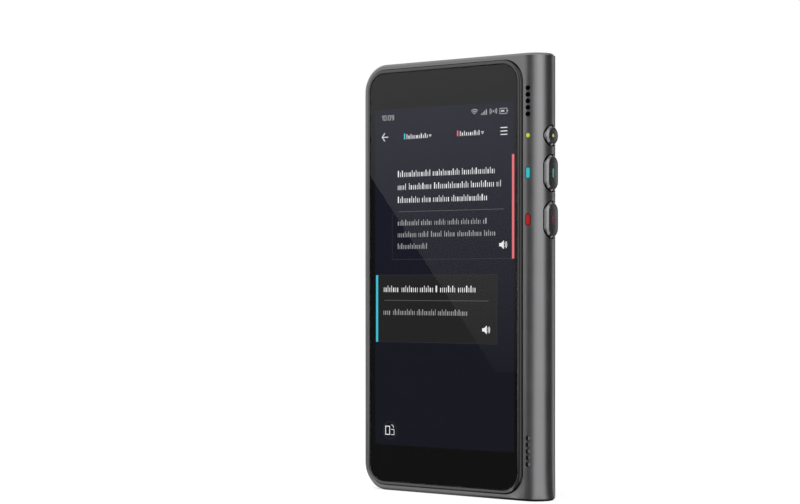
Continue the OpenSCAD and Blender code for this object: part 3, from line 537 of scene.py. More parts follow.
# %% Glass with a rounded front edge
glass_low, glass_high = corners("cover_glass")
GLASS_R = 4.82
GLASS_EDGE = 0.12
BONDING = 0.02
CORNER_STEPS = 16
glass_path, glass_out = rounded_rectangle(
    glass_low[0], glass_high[0], glass_low[2], glass_high[2], GLASS_R, CORNER_STEPS
)
turn = np.linspace(0, math.pi / 2, 6)
glass_profile = [
    (GLASS_EDGE * (math.sin(a) - 1), glass_low[1] + GLASS_EDGE * (1 - math.cos(a))) for a in turn
] + [(0, glass_high[1] + BONDING)]
clear_glass = new_finish(
    "clear_glass", Transmission_Weight=1.0, IOR=1.5, Base_Color=(1, 1, 1, 1), Roughness=0.0
)
tint(clear_glass, "Base Color", grain_noise(clear_glass, 30), (0.975, 0.98, 0.98), (1, 1, 1))
make_piece(
    "polished_glass", loft(carry(glass_path, glass_out, glass_profile)), clear_glass,
    replaces=["cover_glass"],
)

# %% [markdown]
# ## The lip round the glass
# The plastic surround rises from the metal and leans a few degrees outwards, which is why its left
# side is pale and its right side dark under the same light. Its section is a closed polygon in
# millimetres inwards from the outline: a shadow groove at its foot, a rounded shoulder, the leaning
# face, a small round over at the glass and the wall below. A bevel tool could round the corners,
# but not lean the face.

# %% Leaning surround
lip_low, lip_high = corners("screen_surround")
LIP_IN = glass_low[0] - lip_low[0]
LIP_R, GLASS_PLAY, LIP_UNDER = GLASS_R + LIP_IN, 0.12, 0.3
FOOT_Y = corners("frame_housing")[0][1]
SHOULDER, LEAN, ROUND, GROOVE = 0.3, 0.13, 0.11, 0.06
face_in = LIP_IN - GLASS_PLAY
shoulder_y = lip_low[1] + LEAN
shoulder_rise, wall_y = shoulder_y - FOOT_Y, glass_high[1] + BONDING + 0.01
lip_section = [(0, lip_high[1]), (0, FOOT_Y + 4 * GROOVE), (-GROOVE, FOOT_Y + 3 * GROOVE)]
lip_section += [
    (-GROOVE - (SHOULDER - GROOVE) * (1 - math.cos(a)), FOOT_Y + shoulder_rise * math.sin(a))
    for a in np.linspace(0, math.pi / 2, 8)
]
lip_section += [
    (-(face_in - ROUND + ROUND * math.sin(a)), lip_low[1] + ROUND * (1 - math.cos(a)))
    for a in np.linspace(0, math.pi / 2, 5)
]
lip_section += [
    (-face_in, wall_y), (-LIP_IN - LIP_UNDER, wall_y), (-LIP_IN - LIP_UNDER, lip_high[1]),
]
lip_path, lip_out = rounded_rectangle(
    lip_low[0], lip_high[0], lip_low[2], lip_high[2], LIP_R, CORNER_STEPS
)
make_piece(
    "leaning_surround", loft(carry(lip_path, lip_out, lip_section), ring=True),
    surround_plastic, replaces=["screen_surround"],
)

# %% [markdown]
# ### The seal
# Between lip and glass runs a thin black seal, a dark part that also stands in for the shade in the
# narrow gap: painted shade. Without it the pale inside of the glass's edge would show as a bright
# line. It is the lip's own path with a narrower section.

# %% Seal between lip and glass, with painted shade in the gap
SEAL_PLAY, SEAL_DEPTH = 0.006, 0.03
seal_out, seal_in, seal_y = -face_in - SEAL_PLAY, -LIP_IN + SEAL_PLAY, glass_low[1] + SEAL_DEPTH
seal_section = [
    (seal_out, seal_y), (seal_in, seal_y), (seal_in, glass_high[1]), (seal_out, glass_high[1]),
]
# Near-black seal: a dark part where the gap lies in shade, painted shade.
seal_shade_black = clouded(
    "seal_rubber_and_gap_shade", (0.0025, 0.0025, 0.0025), roughness=0.8, cloud_mm=2.0, Specular_IOR_Level=0.1
)
make_piece(
    "glass_seal_and_shade", loft(carry(lip_path, lip_out, seal_section), ring=True), seal_shade_black,
)

# %% [markdown]
# ## Ink, picture and signs
# The ink is a thin skin on the back and the sides of the glass: its outer loops are the glass's
# outline and its inner loops the picture's. The picture itself is the lit front of the display
# panel, and what it shows are thin lit shapes just in front of it, bonded into the glass as ink
# would be. They are bars and plain pictograms, laid out in millimetres from the picture's upper
# left corner.

# %% Ink ring
panel_low, panel_high = corners("display_panel")
PANEL_SIDE, PANEL_HEAD, PANEL_FOOT = 0.4, 1.0, 3.5
picture_x = (panel_low[0] + PANEL_SIDE, panel_high[0] - PANEL_SIDE)
picture_z = (panel_low[2] + PANEL_FOOT, panel_high[2] - PANEL_HEAD)
INK_T, INK_PLAY, INK_WALL, PICTURE_R = 0.01, 0.01, 0.03, 0.15
INK_Y = glass_high[1] - BONDING
inner_path, _ = rounded_rectangle(*picture_x, *picture_z, PICTURE_R, CORNER_STEPS)
outer_path, wall_path = glass_path - glass_out * INK_PLAY, glass_path - glass_out * INK_WALL
ink_top = glass_low[1] + GLASS_EDGE + 0.02
ink_loops = [
    on_front(path, y)
    for path, y in (
        (outer_path, ink_top), (wall_path, ink_top), (wall_path, INK_Y), (inner_path, INK_Y),
        (inner_path, INK_Y + INK_T), (outer_path, INK_Y + INK_T),
    )
]
ink = clouded(
    "black_ink", (0.0022, 0.0022, 0.0022), roughness=0.6, cloud_mm=3.0, Specular_IOR_Level=0.0
)
make_piece("glass_ink", loft(ink_loops, ring=True), ink)


# %% Lit shapes
def lit(name, colour):
    """A lit part of the picture: no colour of its own, only light, with the faint drift of a
    backlight."""
    material = new_finish(
        name, Base_Color=(0.002, 0.002, 0.002, 1), Roughness=0.5, Specular_IOR_Level=0.0,
        Emission_Strength=1.0,
    )
    drift = grain_noise(material, 25)
    tint(material, "Emission Color", drift, shade(colour, 0.96), shade(colour, 1.04))
    return material


def screen_piece(name, parts, light, colour):
    """Joins lit parts into one piece of the picture, with a light of their own."""
    make_piece(name, join(parts), lit(light, colour))


LAYOUT_X, LAYOUT_Z = -49.42, 102.87


def screen_point(across, down):
    """Millimetres from the layout's upper left corner to X and Z on the model."""
    return LAYOUT_X + across, LAYOUT_Z - down


# %% Bars
LAYER, CARD_LEVEL, MARK_LEVEL = 0.012, 1, 2
BAR_STEPS = 5


def bar(left, right, top, bottom, radius=0.0, level=MARK_LEVEL):
    """Flat bar on the screen with round corners: two loops of one outline, half a layer apart."""
    x0, z1 = screen_point(left, top)
    x1, z0 = screen_point(right, bottom)
    radius = min(radius, (x1 - x0) / 2.001, (z1 - z0) / 2.001)
    path, _ = rounded_rectangle(x0, x1, z0, z1, max(radius, 0.001), BAR_STEPS)
    y = INK_Y - LAYER * level
    return loft([on_front(path, y), on_front(path, y + LAYER / 2)])


# %% Strokes and arcs
ARC_STEPS, MITRE_LIMIT = 7, 0.35


def stroke(points, width, closed=False, level=MARK_LEVEL):
    """Ribbon along a line on the screen. At each point the two edges lie half the width to either
    side of the bisector of its two segments, widened by one over the cosine of half the turn so
    that the ribbon keeps its width round the corner."""
    line = np.array([screen_point(*p) for p in points])
    ahead = np.roll(line, -1, 0) - line
    behind = line - np.roll(line, 1, 0)
    if not closed:
        ahead[-1], behind[0] = behind[-1], ahead[0]
    ahead /= np.linalg.norm(ahead, axis=1)[:, None]
    behind /= np.linalg.norm(behind, axis=1)[:, None]
    side = np.stack([-(ahead + behind)[:, 1], (ahead + behind)[:, 0]], 1)
    side /= np.linalg.norm(side, axis=1)[:, None]
    cosine = np.abs(np.sum(side * np.stack([-ahead[:, 1], ahead[:, 0]], 1), 1)).clip(MITRE_LIMIT)
    side *= (width / 2 / cosine)[:, None]
    y = INK_Y - LAYER * level
    left, right, back = line + side, line - side, y + LAYER / 2
    edges = ((left, y), (right, y), (right, back), (left, back))
    loops = np.stack([on_front(path, depth) for path, depth in edges], 1)
    return loft(loops, ring=closed)


def arc(across, down, radius, start, end, steps=ARC_STEPS):
    """Points of an arc on the screen, with angles in degrees from the right, turning upwards."""
    angle = np.radians(np.linspace(start, end, steps))
    return list(zip(across + radius * np.cos(angle), down - radius * np.sin(angle)))


# %% [markdown]
# ### Placeholder words
# Wording on a screen is set in a typeface, and none is needed here. Printers fill a layout with
# marks that have the rhythm of words, and so does this: each word is a run of small upright posts,
# some of them tall, with the gaps that letters would leave. A row gives its style, the middle of
# the row, the height of a low post and its words as (left, right, seed), in millimetres on the
# layout.

# %% Rows of placeholder words
WORD_ROWS = [
    ("bold", 17.85, 1.22, [(8.2, 19.1, 8), (20.0, 28.7, 6), (29.6, 40.0, 7)]),
    ("bold", 21.3, 1.22, [(8.2, 10.9, 2), (12.0, 19.4, 6), (20.4, 31.6, 7), (32.5, 39.8, 6),
                          (40.7, 42.0, 1)]),
    ("bold", 24.8, 1.22, [(8.2, 15.5, 6), (16.4, 19.2, 2), (20.1, 25.3, 4), (26.2, 37.6, 9)]),
    ("plain", 30.95, 1.1, [(8.2, 15.3, 6), (16.1, 19.5, 2), (20.5, 24.1, 3), (24.9, 28.5, 3),
                           (29.3, 31.8, 2), (32.5, 35.5, 2), (36.4, 37.5, 1)]),
    ("plain", 34.1, 1.1, [(8.2, 14.4, 6), (15.2, 18.4, 2), (19.4, 22.8, 3), (23.8, 27.1, 4),
                          (28.1, 35.8, 7), (36.7, 40.2, 4)]),
    ("plain", 37.25, 1.1, [(8.2, 18.0, 10)]),
    ("bold", 48.75, 1.25, [(3.4, 8.3, 3), (9.5, 14.9, 3), (15.7, 20.0, 3), (20.9, 21.4, 1),
                           (22.4, 27.3, 4), (28.3, 33.9, 4)]),
    ("plain", 54.95, 1.15, [(3.3, 5.5, 3), (6.6, 13.9, 5), (14.7, 20.9, 5), (21.7, 31.2, 9)]),
    ("bold", 7.85, 0.95, [(11.2, 18.2, 7), (28.9, 35.2, 7)]),
]
POSTS = {
    # widths of the posts, and the gap between two of them
    "bold": ([0.22, 0.17, 0.36, 0.18, 0.28, 0.16], 0.42),
    "plain": ([0.19, 0.32, 0.17, 0.26], 0.365),
}
TALL, POST_ROUND = 1.42, 2.2


def word(left, right, middle, height, style, seed):
    """One word: posts of the style's widths, repeated from a start that depends on the seed, and
    stretched a little so that the last one ends at the word's right edge. Some of them are tall."""
    widths, gap = POSTS[style]
    start = seed % len(widths)
    turned = widths[start:] + widths[:start]
    average = sum(widths) / len(widths) + gap
    count = max(1, round((right - left + gap) / average))
    row = np.array([turned[k % len(turned)] for k in range(count)])
    row *= (right - left - gap * (count - 1)) / row.sum()
    begin = left + np.concatenate([[0], np.cumsum(row[:-1] + gap)])
    tall = (np.arange(count) * 3 + seed) % 7 < 2
    foot = middle + height / 2
    top = foot - height * np.where(tall, TALL, 1.0)
    return [bar(a, a + w, t, foot, w / POST_ROUND) for a, w, t in zip(begin, row, top)]


word_parts = {"bold": [], "plain": []}
for row, (style, middle, height, words) in enumerate(WORD_ROWS):
    for left, right, seed in words:
        word_parts[style] += word(left, right, middle, height, style, seed + row)
screen_piece("screen_bold_words", word_parts["bold"], "lit_bold", (0.9, 0.9, 0.92))
screen_piece("screen_plain_words", word_parts["plain"], "lit_plain", (0.36, 0.36, 0.37))

# %% [markdown]
# ### Status line, buttons and cards
# The status line has a clock in plain numbers and four generic signs. A number is a stroke along
# the corners of a narrow figure, as on a digital clock face, with its corners cut.

# %% Clock numbers
FIGURES = {
    "1": [(0.1, 0.25), (0.4, 0.0), (0.4, 1.3)],
    "0": [(0.2, 0.0), (0.5, 0.0), (0.7, 0.25), (0.7, 1.05), (0.5, 1.3), (0.2, 1.3), (0.0, 1.05),
          (0.0, 0.25), (0.2, 0.0)],
    "9": [(0.7, 0.5), (0.5, 0.7), (0.2, 0.7), (0.0, 0.5), (0.0, 0.2), (0.2, 0.0), (0.5, 0.0),
          (0.7, 0.25), (0.7, 1.0), (0.5, 1.3), (0.1, 1.25)],
}
FIGURE_STEPS = (("1", 2.7), ("0", 3.5), ("0", 5.0), ("9", 6.1))
FIGURE_TOP, FIGURE_LINE = 1.65, 0.13
COLON_X, COLON, COLON_ROUND = 4.51, 0.19, 0.09
sign_parts = [
    stroke([(left + a, FIGURE_TOP + b) for a, b in FIGURES[figure]], FIGURE_LINE)
    for figure, left in FIGURE_STEPS
]
sign_parts += [
    bar(COLON_X, COLON_X + COLON, down, down + COLON, COLON_ROUND) for down in (1.95, 2.55)
]

# %% Status signs
SIGN_LINE, BATTERY_LINE, DOT, SIGN_ROUND = 0.15, 0.12, 0.18, 0.05
WAVE_X, WAVE_Z, MAST_X, MAST_Z = 33.6, 3.05, 39.65, 2.33
sign_parts += [stroke(arc(WAVE_X, WAVE_Z, r, 45, 135), SIGN_LINE) for r in (0.5, 1.0, 1.5)]
sign_parts += [
    bar(35.82 + 0.5 * k, 36.02 + 0.5 * k, 2.75 - 0.35 * k, 3.15, SIGN_ROUND) for k in range(4)
]
sign_parts.append(bar(MAST_X - DOT, MAST_X + DOT, MAST_Z - DOT, MAST_Z + DOT, DOT))
sign_parts += [
    stroke(arc(MAST_X, MAST_Z, r, middle - 42, middle + 42), SIGN_LINE)
    for r in (0.62, 1.1) for middle in (0, 180)
]
battery_line = [(41.7, 1.75), (43.9, 1.75), (43.9, 3.1), (41.7, 3.1)]
sign_parts.append(stroke(battery_line, BATTERY_LINE, closed=True))
for left, right in ((42.05, 43.1), (44.05, 44.22)):
    sign_parts.append(bar(left, right, 2.2, 2.65, SIGN_ROUND))

# %% Arrow, carets, menu
ARROW_LINE, CARET_LINE, MENU_LINE = 0.21, 0.13, 0.22
bright_parts = [
    stroke([(3.75, 6.4), (2.8, 7.5), (3.75, 8.6)], ARROW_LINE),
    stroke([(2.95, 7.5), (4.9, 7.5)], ARROW_LINE),
]
bright_parts += [
    stroke([(left, 7.5), (left + 0.65, 7.5), (left + 0.32, 8.0)], CARET_LINE, closed=True)
    for left in (18.75, 35.85)
]
bright_parts += [
    bar(41.9, 44.1, down - MENU_LINE / 2, down + MENU_LINE / 2, 0.1) for down in (6.73, 7.63, 8.5)
]


# %% Speaker sign and turning sign
WAVE_LINE, PAGE_LINE, SLIP_LINE, BEND_LINE = 0.2, 0.22, 0.15, 0.16


def speaker_sign(left, middle):
    """A box, a cone that opens to the right and two short waves."""
    cone = [(left, middle - 0.42), (left + 0.6, middle - 0.42), (left + 1.45, middle - 1.15),
            (left + 1.45, middle + 1.15), (left + 0.6, middle + 0.42), (left, middle + 0.42)]
    outline = np.array([screen_point(*p) for p in cone])
    y = INK_Y - LAYER * MARK_LEVEL
    body = loft([on_front(outline, y), on_front(outline, y + LAYER / 2)])
    waves = [stroke(arc(left + 1.0, middle, r, -38, 38), WAVE_LINE) for r in (0.95, 1.4)]
    return [body, *waves]


page = [(4.0, 85.6), (5.4, 85.6), (5.4, 87.8), (4.0, 87.8)]
slip = [(5.9, 86.4), (6.9, 86.4), (6.9, 87.8), (5.9, 87.8)]
bright_parts += speaker_sign(41.5, 37.0) + speaker_sign(36.1, 59.1)
bright_parts.append(stroke(page, PAGE_LINE, closed=True))
bright_parts.append(stroke(slip, SLIP_LINE))
bright_parts.append(stroke(arc(5.9, 86.0, 0.85, 0, 85), BEND_LINE))
screen_piece("screen_signs", sign_parts, "lit_sign", (0.58, 0.58, 0.6))
screen_piece("screen_buttons", bright_parts, "lit_bright", (0.88, 0.88, 0.9))

# %% Cards and rules
FRAME_LINE, RING_LINE, RING_STEPS = 0.12, 0.14, 30
card_frame = [(1.5, 44.75), (40.8, 44.75), (40.8, 62.75), (1.5, 62.75)]
rule_parts = [bar(8.4, 43.0, 27.68, 27.84), bar(3.6, 38.1, 51.5, 51.68)]
faint_parts = [
    bar(6.2, 45.4, 40.5, 40.66), bar(6.2, 6.34, 28.0, 40.66), stroke(card_frame, FRAME_LINE),
    stroke(arc(5.5, 86.7, 2.35, 0, 348, RING_STEPS), RING_LINE, closed=True, level=CARD_LEVEL),
]
card_parts = [bar(1.4, 40.8, 44.75, 62.75, level=CARD_LEVEL)]
screen_piece("screen_rules", rule_parts, "lit_rule", (0.09, 0.09, 0.1))
screen_piece("screen_outlines", faint_parts, "lit_faint", (0.028, 0.028, 0.038))
screen_piece("screen_card", card_parts, "lit_card", (0.0125, 0.0125, 0.0125))

# %% Coloured marks
cyan_parts = [bar(0.68, 1.41, 44.8, 62.85), bar(10.28, 10.72, 6.8, 8.35)]
red_parts = [bar(45.5, 46.23, 13.7, 40.6), bar(27.95, 28.38, 6.85, 8.3)]
screen_piece("screen_cyan_marks", cyan_parts, "lit_cyan", (0.05, 0.53, 0.67))
screen_piece("screen_red_marks", red_parts, "lit_red", (0.8, 0.16, 0.18))

# %% Lit panel
PANEL_FOOT_LIGHT, PANEL_HEAD_LIGHT = (0.0041, 0.0043, 0.0105), (0.0052, 0.0056, 0.018)
PANEL_SPAN = (0.03, 0.1)
panel_light = lit("lit_panel", PANEL_FOOT_LIGHT)
height = object_axes(panel_light.node_tree)["Z"]
panel_rise = mapped(panel_light, height, 0.0, 1.0, PANEL_SPAN)
panel_stops = [(0.0, PANEL_FOOT_LIGHT), (1.0, PANEL_HEAD_LIGHT)]
feed(panel_light, "Emission Color", ramp(panel_light, panel_rise, panel_stops))
give("display_panel", panel_light)
print("panel light over", PANEL_SPAN, "metres")

# %% [markdown]
# ## Sleeves and fine screens in the lower holes
# Each hole of the lower grille is lined with a sleeve of near-black rubber, which keeps the cut
# metal from shining inside the hole. It is also a dark part that stands in for the shade deep in
# the holes: painted shade. The top of the sleeve has to follow the round spine, so its height comes
# from the circle's own formula instead of a boolean cut.

# %% Sleeves of the holes
SPINE_R = corners("frame_housing")[1][1]
HOLE_D, HOLE_PITCH = 1.3, 1.67
HOLE_X, HOLE_Z = face_middle("mic_mesh")
SLEEVE_LIP, SLEEVE_WALL, SLEEVE_PLAY, SLEEVE_STEPS = 0.07, 0.03, 0.012, 48
SCREEN_DROP, SLEEVE_REACH = 0.88, 0.08
hole_y = -math.sqrt(SPINE_R**2 - HOLE_X**2)
hole_middles = [HOLE_Z + (k - 2) * HOLE_PITCH for k in range(5)]
print("holes at x", round(HOLE_X, 2), "z", [round(float(z), 2) for z in hole_middles])


def hole_sleeve(x, z, outer, inner, foot):
    """Sleeve that lines a hole. Its top follows the spine, y = lip less the root of R squared less
    x squared, and its foot is flat; the section between them is a rectangle carried round the
    hole."""
    a = full_turn(SLEEVE_STEPS)
    loops = []
    for r, top in ((outer, True), (inner, True), (inner, False), (outer, False)):
        px = x + r * np.cos(a)
        py = SLEEVE_LIP - np.sqrt(SPINE_R**2 - px**2) if top else np.full(SLEEVE_STEPS, foot)
        loops.append(np.stack([px, py, z + r * np.sin(a)], 1))
    return loft(np.array(loops), ring=True)


sleeve_r = HOLE_D / 2 - SLEEVE_PLAY
sleeve_foot = hole_y + SCREEN_DROP - SLEEVE_REACH
sleeves = [
    hole_sleeve(HOLE_X, z, sleeve_r, sleeve_r - SLEEVE_WALL, sleeve_foot) for z in hole_middles
]
# Near-black lining where the holes lie in shade: painted shade.
sleeve_rubber_painted_shade = clouded(
    "sleeve_rubber_painted_shade", (0.009, 0.009, 0.0095), roughness=0.7, cloud_mm=1.0, Specular_IOR_Level=0.2
)
make_piece("mic_hole_shade_sleeves", join(sleeves), sleeve_rubber_painted_shade)

# %% [markdown]
# ### Dust screens
# Under each sleeve sits a small round screen that keeps dust from the microphones, where light
# still reaches it. Its weave is real relief: a polar grid of points whose height follows the
# product of two sine waves. Bump alone would look flat from the side.

# %% Dust screens
WEAVE, WEAVE_DEPTH, CROWN, RIM_DEPTH = 0.17, 0.03, 0.03, 0.12
DISC_R, DISC_RINGS, DISC_STEPS = HOLE_D / 2 - 0.02, 30, 96


def woven_disc(x, z, y):
    """Disc facing -Y. At distance r and angle a, the point is x + r cos a, z + r sin a, and its y
    is the base less the crown times (1 - r squared over radius squared), plus a weave of sin times
    sin."""
    r = np.linspace(0.02, DISC_R, DISC_RINGS)[:, None]
    a = full_turn(DISC_STEPS)[None, :]
    px, pz = x + r * np.cos(a), z + r * np.sin(a)
    weave = WEAVE_DEPTH * np.sin(2 * math.pi * px / WEAVE) * np.sin(2 * math.pi * pz / WEAVE)
    front = np.stack([px, y - CROWN * (1 - (r / DISC_R) ** 2) + weave, pz], 2)
    rim = front[-1:] + np.array([0, RIM_DEPTH, 0])
    return loft(np.concatenate([front, rim]))


screens = [woven_disc(HOLE_X, z, hole_y + SCREEN_DROP) for z in hole_middles]
screen_steel = clouded(
    "screen_steel", (0.78, 0.78, 0.79), roughness=0.45, cloud_mm=0.5, spread=0.08,
    roughness_spread=0.06, Metallic=1.0,
)
make_piece("mic_dust_screens", join(screens), screen_steel, smooth_angle=60)

# %% [markdown]
# ## Camera and flash
# The camera looks out through a small glass disc. Ink on the back of the disc leaves a round
# opening for the lens. A coating tints the disc's reflection, and a faint purple ring in the lens's
# own colour is a painted reflection of the lens's coating. The flash has a lens of its own with
# fine rings. All of them are round, so each is a profile turned round an axis. The spin tool would
# do the same, and a formula keeps the rings exact.

# %% Camera glass and its ink
window_low, window_high = corners("camera_window")
CAMERA_X, CAMERA_Z = face_middle("camera_window")
WINDOW_R = (window_high[0] - window_low[0]) / 2
WINDOW_EDGE, WINDOW_ROUND = 0.1, 0.03
window_back, window_front = window_low[1] + 0.02, window_high[1]
COATING = (0.8, 0.85, 1, 1)
coated_glass = new_finish(
    "coated_glass", Transmission_Weight=1.0, IOR=1.18, Roughness=0.0, Specular_Tint=COATING
)
coating = grain_noise(coated_glass, 6)
tint(coated_glass, "Base Color", coating, (0.93, 0.95, 0.96), (0.97, 0.98, 0.98))
window_profile = [
    (WINDOW_R, window_back), (WINDOW_R, window_front - WINDOW_EDGE),
    (WINDOW_R - WINDOW_ROUND, window_front - WINDOW_ROUND),
    (WINDOW_R - WINDOW_EDGE, window_front),
]
make_piece(
    "camera_glass", lathe(CAMERA_X, CAMERA_Z, window_profile), coated_glass,
    replaces=["camera_window"],
)
LENS_OPENING, CAMERA_INK_T = 2.05, 0.012
ink_r, ink_y = WINDOW_R - WINDOW_ROUND, window_low[1] + 0.004
ink_back = ink_y + CAMERA_INK_T
ink_section = [(ink_r, ink_y), (LENS_OPENING, ink_y), (LENS_OPENING, ink_back), (ink_r, ink_back)]
camera_ink = clouded(
    "camera_ink", (0.04, 0.04, 0.041), roughness=0.5, cloud_mm=1.0, Specular_IOR_Level=0.0
)
make_piece(
    "camera_ink_ring", lathe(CAMERA_X, CAMERA_Z, ink_section, ring=True), camera_ink,
)

# %% Front lens
LENS_R, LENS_SAG, LENS_GAP = 2.0, 0.14, 0.03
lens_crown = window_low[1] - LENS_GAP
lens_turn = np.linspace(1, 0.02, 14)
lens_profile = [(LENS_R, lens_crown - LENS_SAG - 0.02)] + [
    (LENS_R * t, lens_crown - LENS_SAG * t * t) for t in lens_turn
]
coated_lens = new_finish("coated_lens", Roughness=0.05, Specular_IOR_Level=0.1)
lens_share = slot_distance(coated_lens, (CAMERA_X, CAMERA_Z), 0.0, LENS_R)
# Near-black lens colour with a faint purple ring at half its radius: the ring is a painted
# reflection of the coating.
lens_painted_ring_stops = [
    (0.0, (0.001, 0.001, 0.002)), (0.42, (0.002, 0.003, 0.006)), (0.5, (0.012, 0.008, 0.02)),
    (0.56, (0.001, 0.001, 0.002)), (0.93, (0.001, 0.001, 0.001)), (1.0, (0.02, 0.02, 0.02)),
]
feed(coated_lens, "Base Color", ramp(coated_lens, lens_share, lens_painted_ring_stops))
make_piece(
    "camera_lens", lathe(CAMERA_X, CAMERA_Z, lens_profile), coated_lens,
    smooth_angle=60,
)

# %% Flash lens with fine rings
flash_low, flash_high = corners("flash_window")
FLASH_X, FLASH_Z = face_middle("flash_window")
FLANGE_R = (flash_high[0] - flash_low[0]) / 2
FLASH_R, STEM_R = FLANGE_R - 0.5, FLANGE_R - 0.9
COVER_T, FLANGE_T, RIDGES = 1.0, 0.4, 8
face_y = flash_high[1]
flange_y = face_y - COVER_T
ridge_edges = np.linspace(FLASH_R - 0.25, 0.25, RIDGES + 1)
ridge_profile = []
for outer, inner in zip(ridge_edges[:-1], ridge_edges[1:]):
    ridge_profile += [(outer, face_y - 0.005), (inner + 0.02, face_y - 0.025)]
flash_profile = [
    (STEM_R, flash_low[1]), (STEM_R, flange_y - FLANGE_T), (FLANGE_R, flange_y - FLANGE_T),
    (FLANGE_R, flange_y), (FLASH_R, flange_y), (FLASH_R, face_y - 0.08),
    (FLASH_R - 0.08, face_y), *ridge_profile, (0.2, face_y - 0.02), (0.05, face_y - 0.01),
]
flash_plastic = clouded(
    "flash_lens_plastic", (0.15, 0.15, 0.153), roughness=0.5, cloud_mm=1.5, spread=0.06, IOR=1.5
)
make_piece(
    "flash_lens", lathe(FLASH_X, FLASH_Z, flash_profile), flash_plastic,
    replaces=["flash_window"],
)

# %% [markdown]
# ## Stage, lights and camera
# Satin metal and glass show little of their own colour: they show the room. So the room is built as
# in a studio, on a pale floor, with a tall soft light to one side, a card that the screen mirrors,
# and dark flags where the metal has to stay dark. The flags and the card are seen only in
# reflections.


# %% World
def studio_world(strength):
    """White for the camera and in reflections, softer for the light that falls on surfaces."""
    world = bpy.data.worlds.new("studio")
    world.use_nodes = True
    tree = world.node_tree
    background = tree.nodes["Background"]
    background.inputs["Color"].default_value = (1, 1, 1, 1)
    rays = tree.nodes.new("ShaderNodeLightPath").outputs
    direct = math_node(tree, "ADD", rays["Is Camera Ray"], rays["Is Glossy Ray"], clamp=True)
    seen = math_node(tree, "ADD", direct, rays["Is Transmission Ray"], clamp=True)
    level = mapped(world, seen, strength, 1.0, (0.0, 1.0))
    tree.links.new(level, background.inputs["Strength"])
    bpy.context.scene.world = world
    print("world: white where it is seen,", strength, "on surfaces")


studio_world(0.55)


# %% Sheets of the stage
def bare_material(name):
    """A material with nothing in its tree but the output."""
    material = bpy.data.materials.new(name)
    material.use_nodes = True
    material.node_tree.nodes.clear()
    return material, material.node_tree, material.node_tree.nodes.new("ShaderNodeOutputMaterial")


def stage_sheet(name, points, material, faces=((0, 1, 2, 3),)):
    """A flat or folded sheet that belongs to the stage."""
    mesh = bpy.data.meshes.new(name)
    mesh.from_pydata([tuple(p) for p in points], [], list(faces))
    mesh.materials.append(material)
    sheet = new_object(name, mesh)
    print("stage", name)
    return sheet


def level_corners(left, right, front, back, z):
    """Corners of a level rectangle."""
    return [(left, front, z), (right, front, z), (right, back, z), (left, back, z)]


# %% Floor
def floor_material(albedo, glow):
    """Pale floor: part diffuse, which keeps the shadow, and part even light that brings it to
    white."""
    material, tree, output = bare_material("pale_floor")
    diffuse = tree.nodes.new("ShaderNodeBsdfDiffuse")
    diffuse.inputs["Color"].default_value = (albedo, albedo, albedo, 1)
    light = tree.nodes.new("ShaderNodeEmission")
    light.inputs["Strength"].default_value = glow
    rays = tree.nodes.new("ShaderNodeLightPath")
    both = tree.nodes.new("ShaderNodeAddShader")
    choose = tree.nodes.new("ShaderNodeMixShader")
    for source, target in (
        (diffuse.outputs[0], both.inputs[0]), (light.outputs[0], both.inputs[1]),
        (rays.outputs["Is Diffuse Ray"], choose.inputs[0]), (both.outputs[0], choose.inputs[1]),
        (diffuse.outputs[0], choose.inputs[2]), (choose.outputs[0], output.inputs[0]),
    ):
        tree.links.new(source, target)
    return material


FLOOR = 6.0
stage_sheet("floor", level_corners(-FLOOR, FLOOR, -FLOOR, FLOOR, 0), floor_material(0.75, 0.6))


# %% Cards and flags
def card_material(name, radiance, end_radiance=None, span=(0.0, 1.0), axis="Z"):
    """Even light, or light that changes along an axis over a span, in metres."""
    material, tree, output = bare_material(name)
    light = tree.nodes.new("ShaderNodeEmission")
    light.inputs["Strength"].default_value = radiance
    if end_radiance is not None:
        level = mapped(material, object_axes(tree)[axis], radiance, end_radiance, span)
        tree.links.new(level, light.inputs["Strength"])
    tree.links.new(light.outputs[0], output.inputs[0])
    return material


def mirrored_sheet(name, points, material, faces=((0, 1, 2, 3),)):
    """A sheet that is seen in reflections and by nothing else."""
    sheet = stage_sheet(name, points, material, faces)
    for kind in ("camera", "diffuse", "transmission", "volume_scatter", "shadow"):
        setattr(sheet, f"visible_{kind}", False)


def around(angle, distance):
    """Point on the floor at an angle in degrees from -Y towards +X."""
    a = math.radians(angle)
    return distance * math.sin(a), -distance * math.cos(a)


# %% Cards round the spine
GROUND = 0.00001


def folded_flag(name, start, end, distance, height, material):
    """A sheet that stands upright between two angles round the spine and folds at its foot, so that
    a wedge of it lies on the floor as far as the spine. It looks the same from all heights of the
    spine."""
    near, far = around(start, distance), around(end, distance)
    points = [(0, 0, GROUND), (*near, GROUND), (*far, GROUND), (*far, height), (*near, height)]
    mirrored_sheet(name, points, material, [(0, 1, 2), (1, 2, 3, 4)])


CARDS = [
    # name, first and last angle, distance, height, light as card_material takes it
    ("flag_front", -20, 22, 0.4, 0.5, ("flag_dark", 0.15)),
    ("flag_right_back", 90, 151, 0.3, 0.5, ("flag_black", 0.08)),
    ("flag_left_back", 171, 192, 0.3, 0.5, ("edge_dark", 0.0)),
    ("side_card", 45, 77, 0.4, 0.6, ("bright_card", 1.12, 1.68, (0.0, 0.15))),
    ("gap_card", -27.5, -20, 0.42, 0.5, ("gap_light", 0.1, 1.05, (0.0, 0.14))),
    ("boost_card", -33, -27.5, 0.42, 0.3, ("boost_light", 1.7, 1.0, (0.0, 0.14))),
]
for name, start, end, distance, height, light in CARDS:
    folded_flag(name, start, end, distance, height, card_material(*light))
near, far = around(-75, 0.6), around(-49, 0.6)
left_points = [(*near, 0), (*far, 0), (*far, 0.3), (*near, 0.3)]
left_light = card_material("left_light", 1.5, 1.0, (0.0, 0.12))
mirrored_sheet("left_card", left_points, left_light)

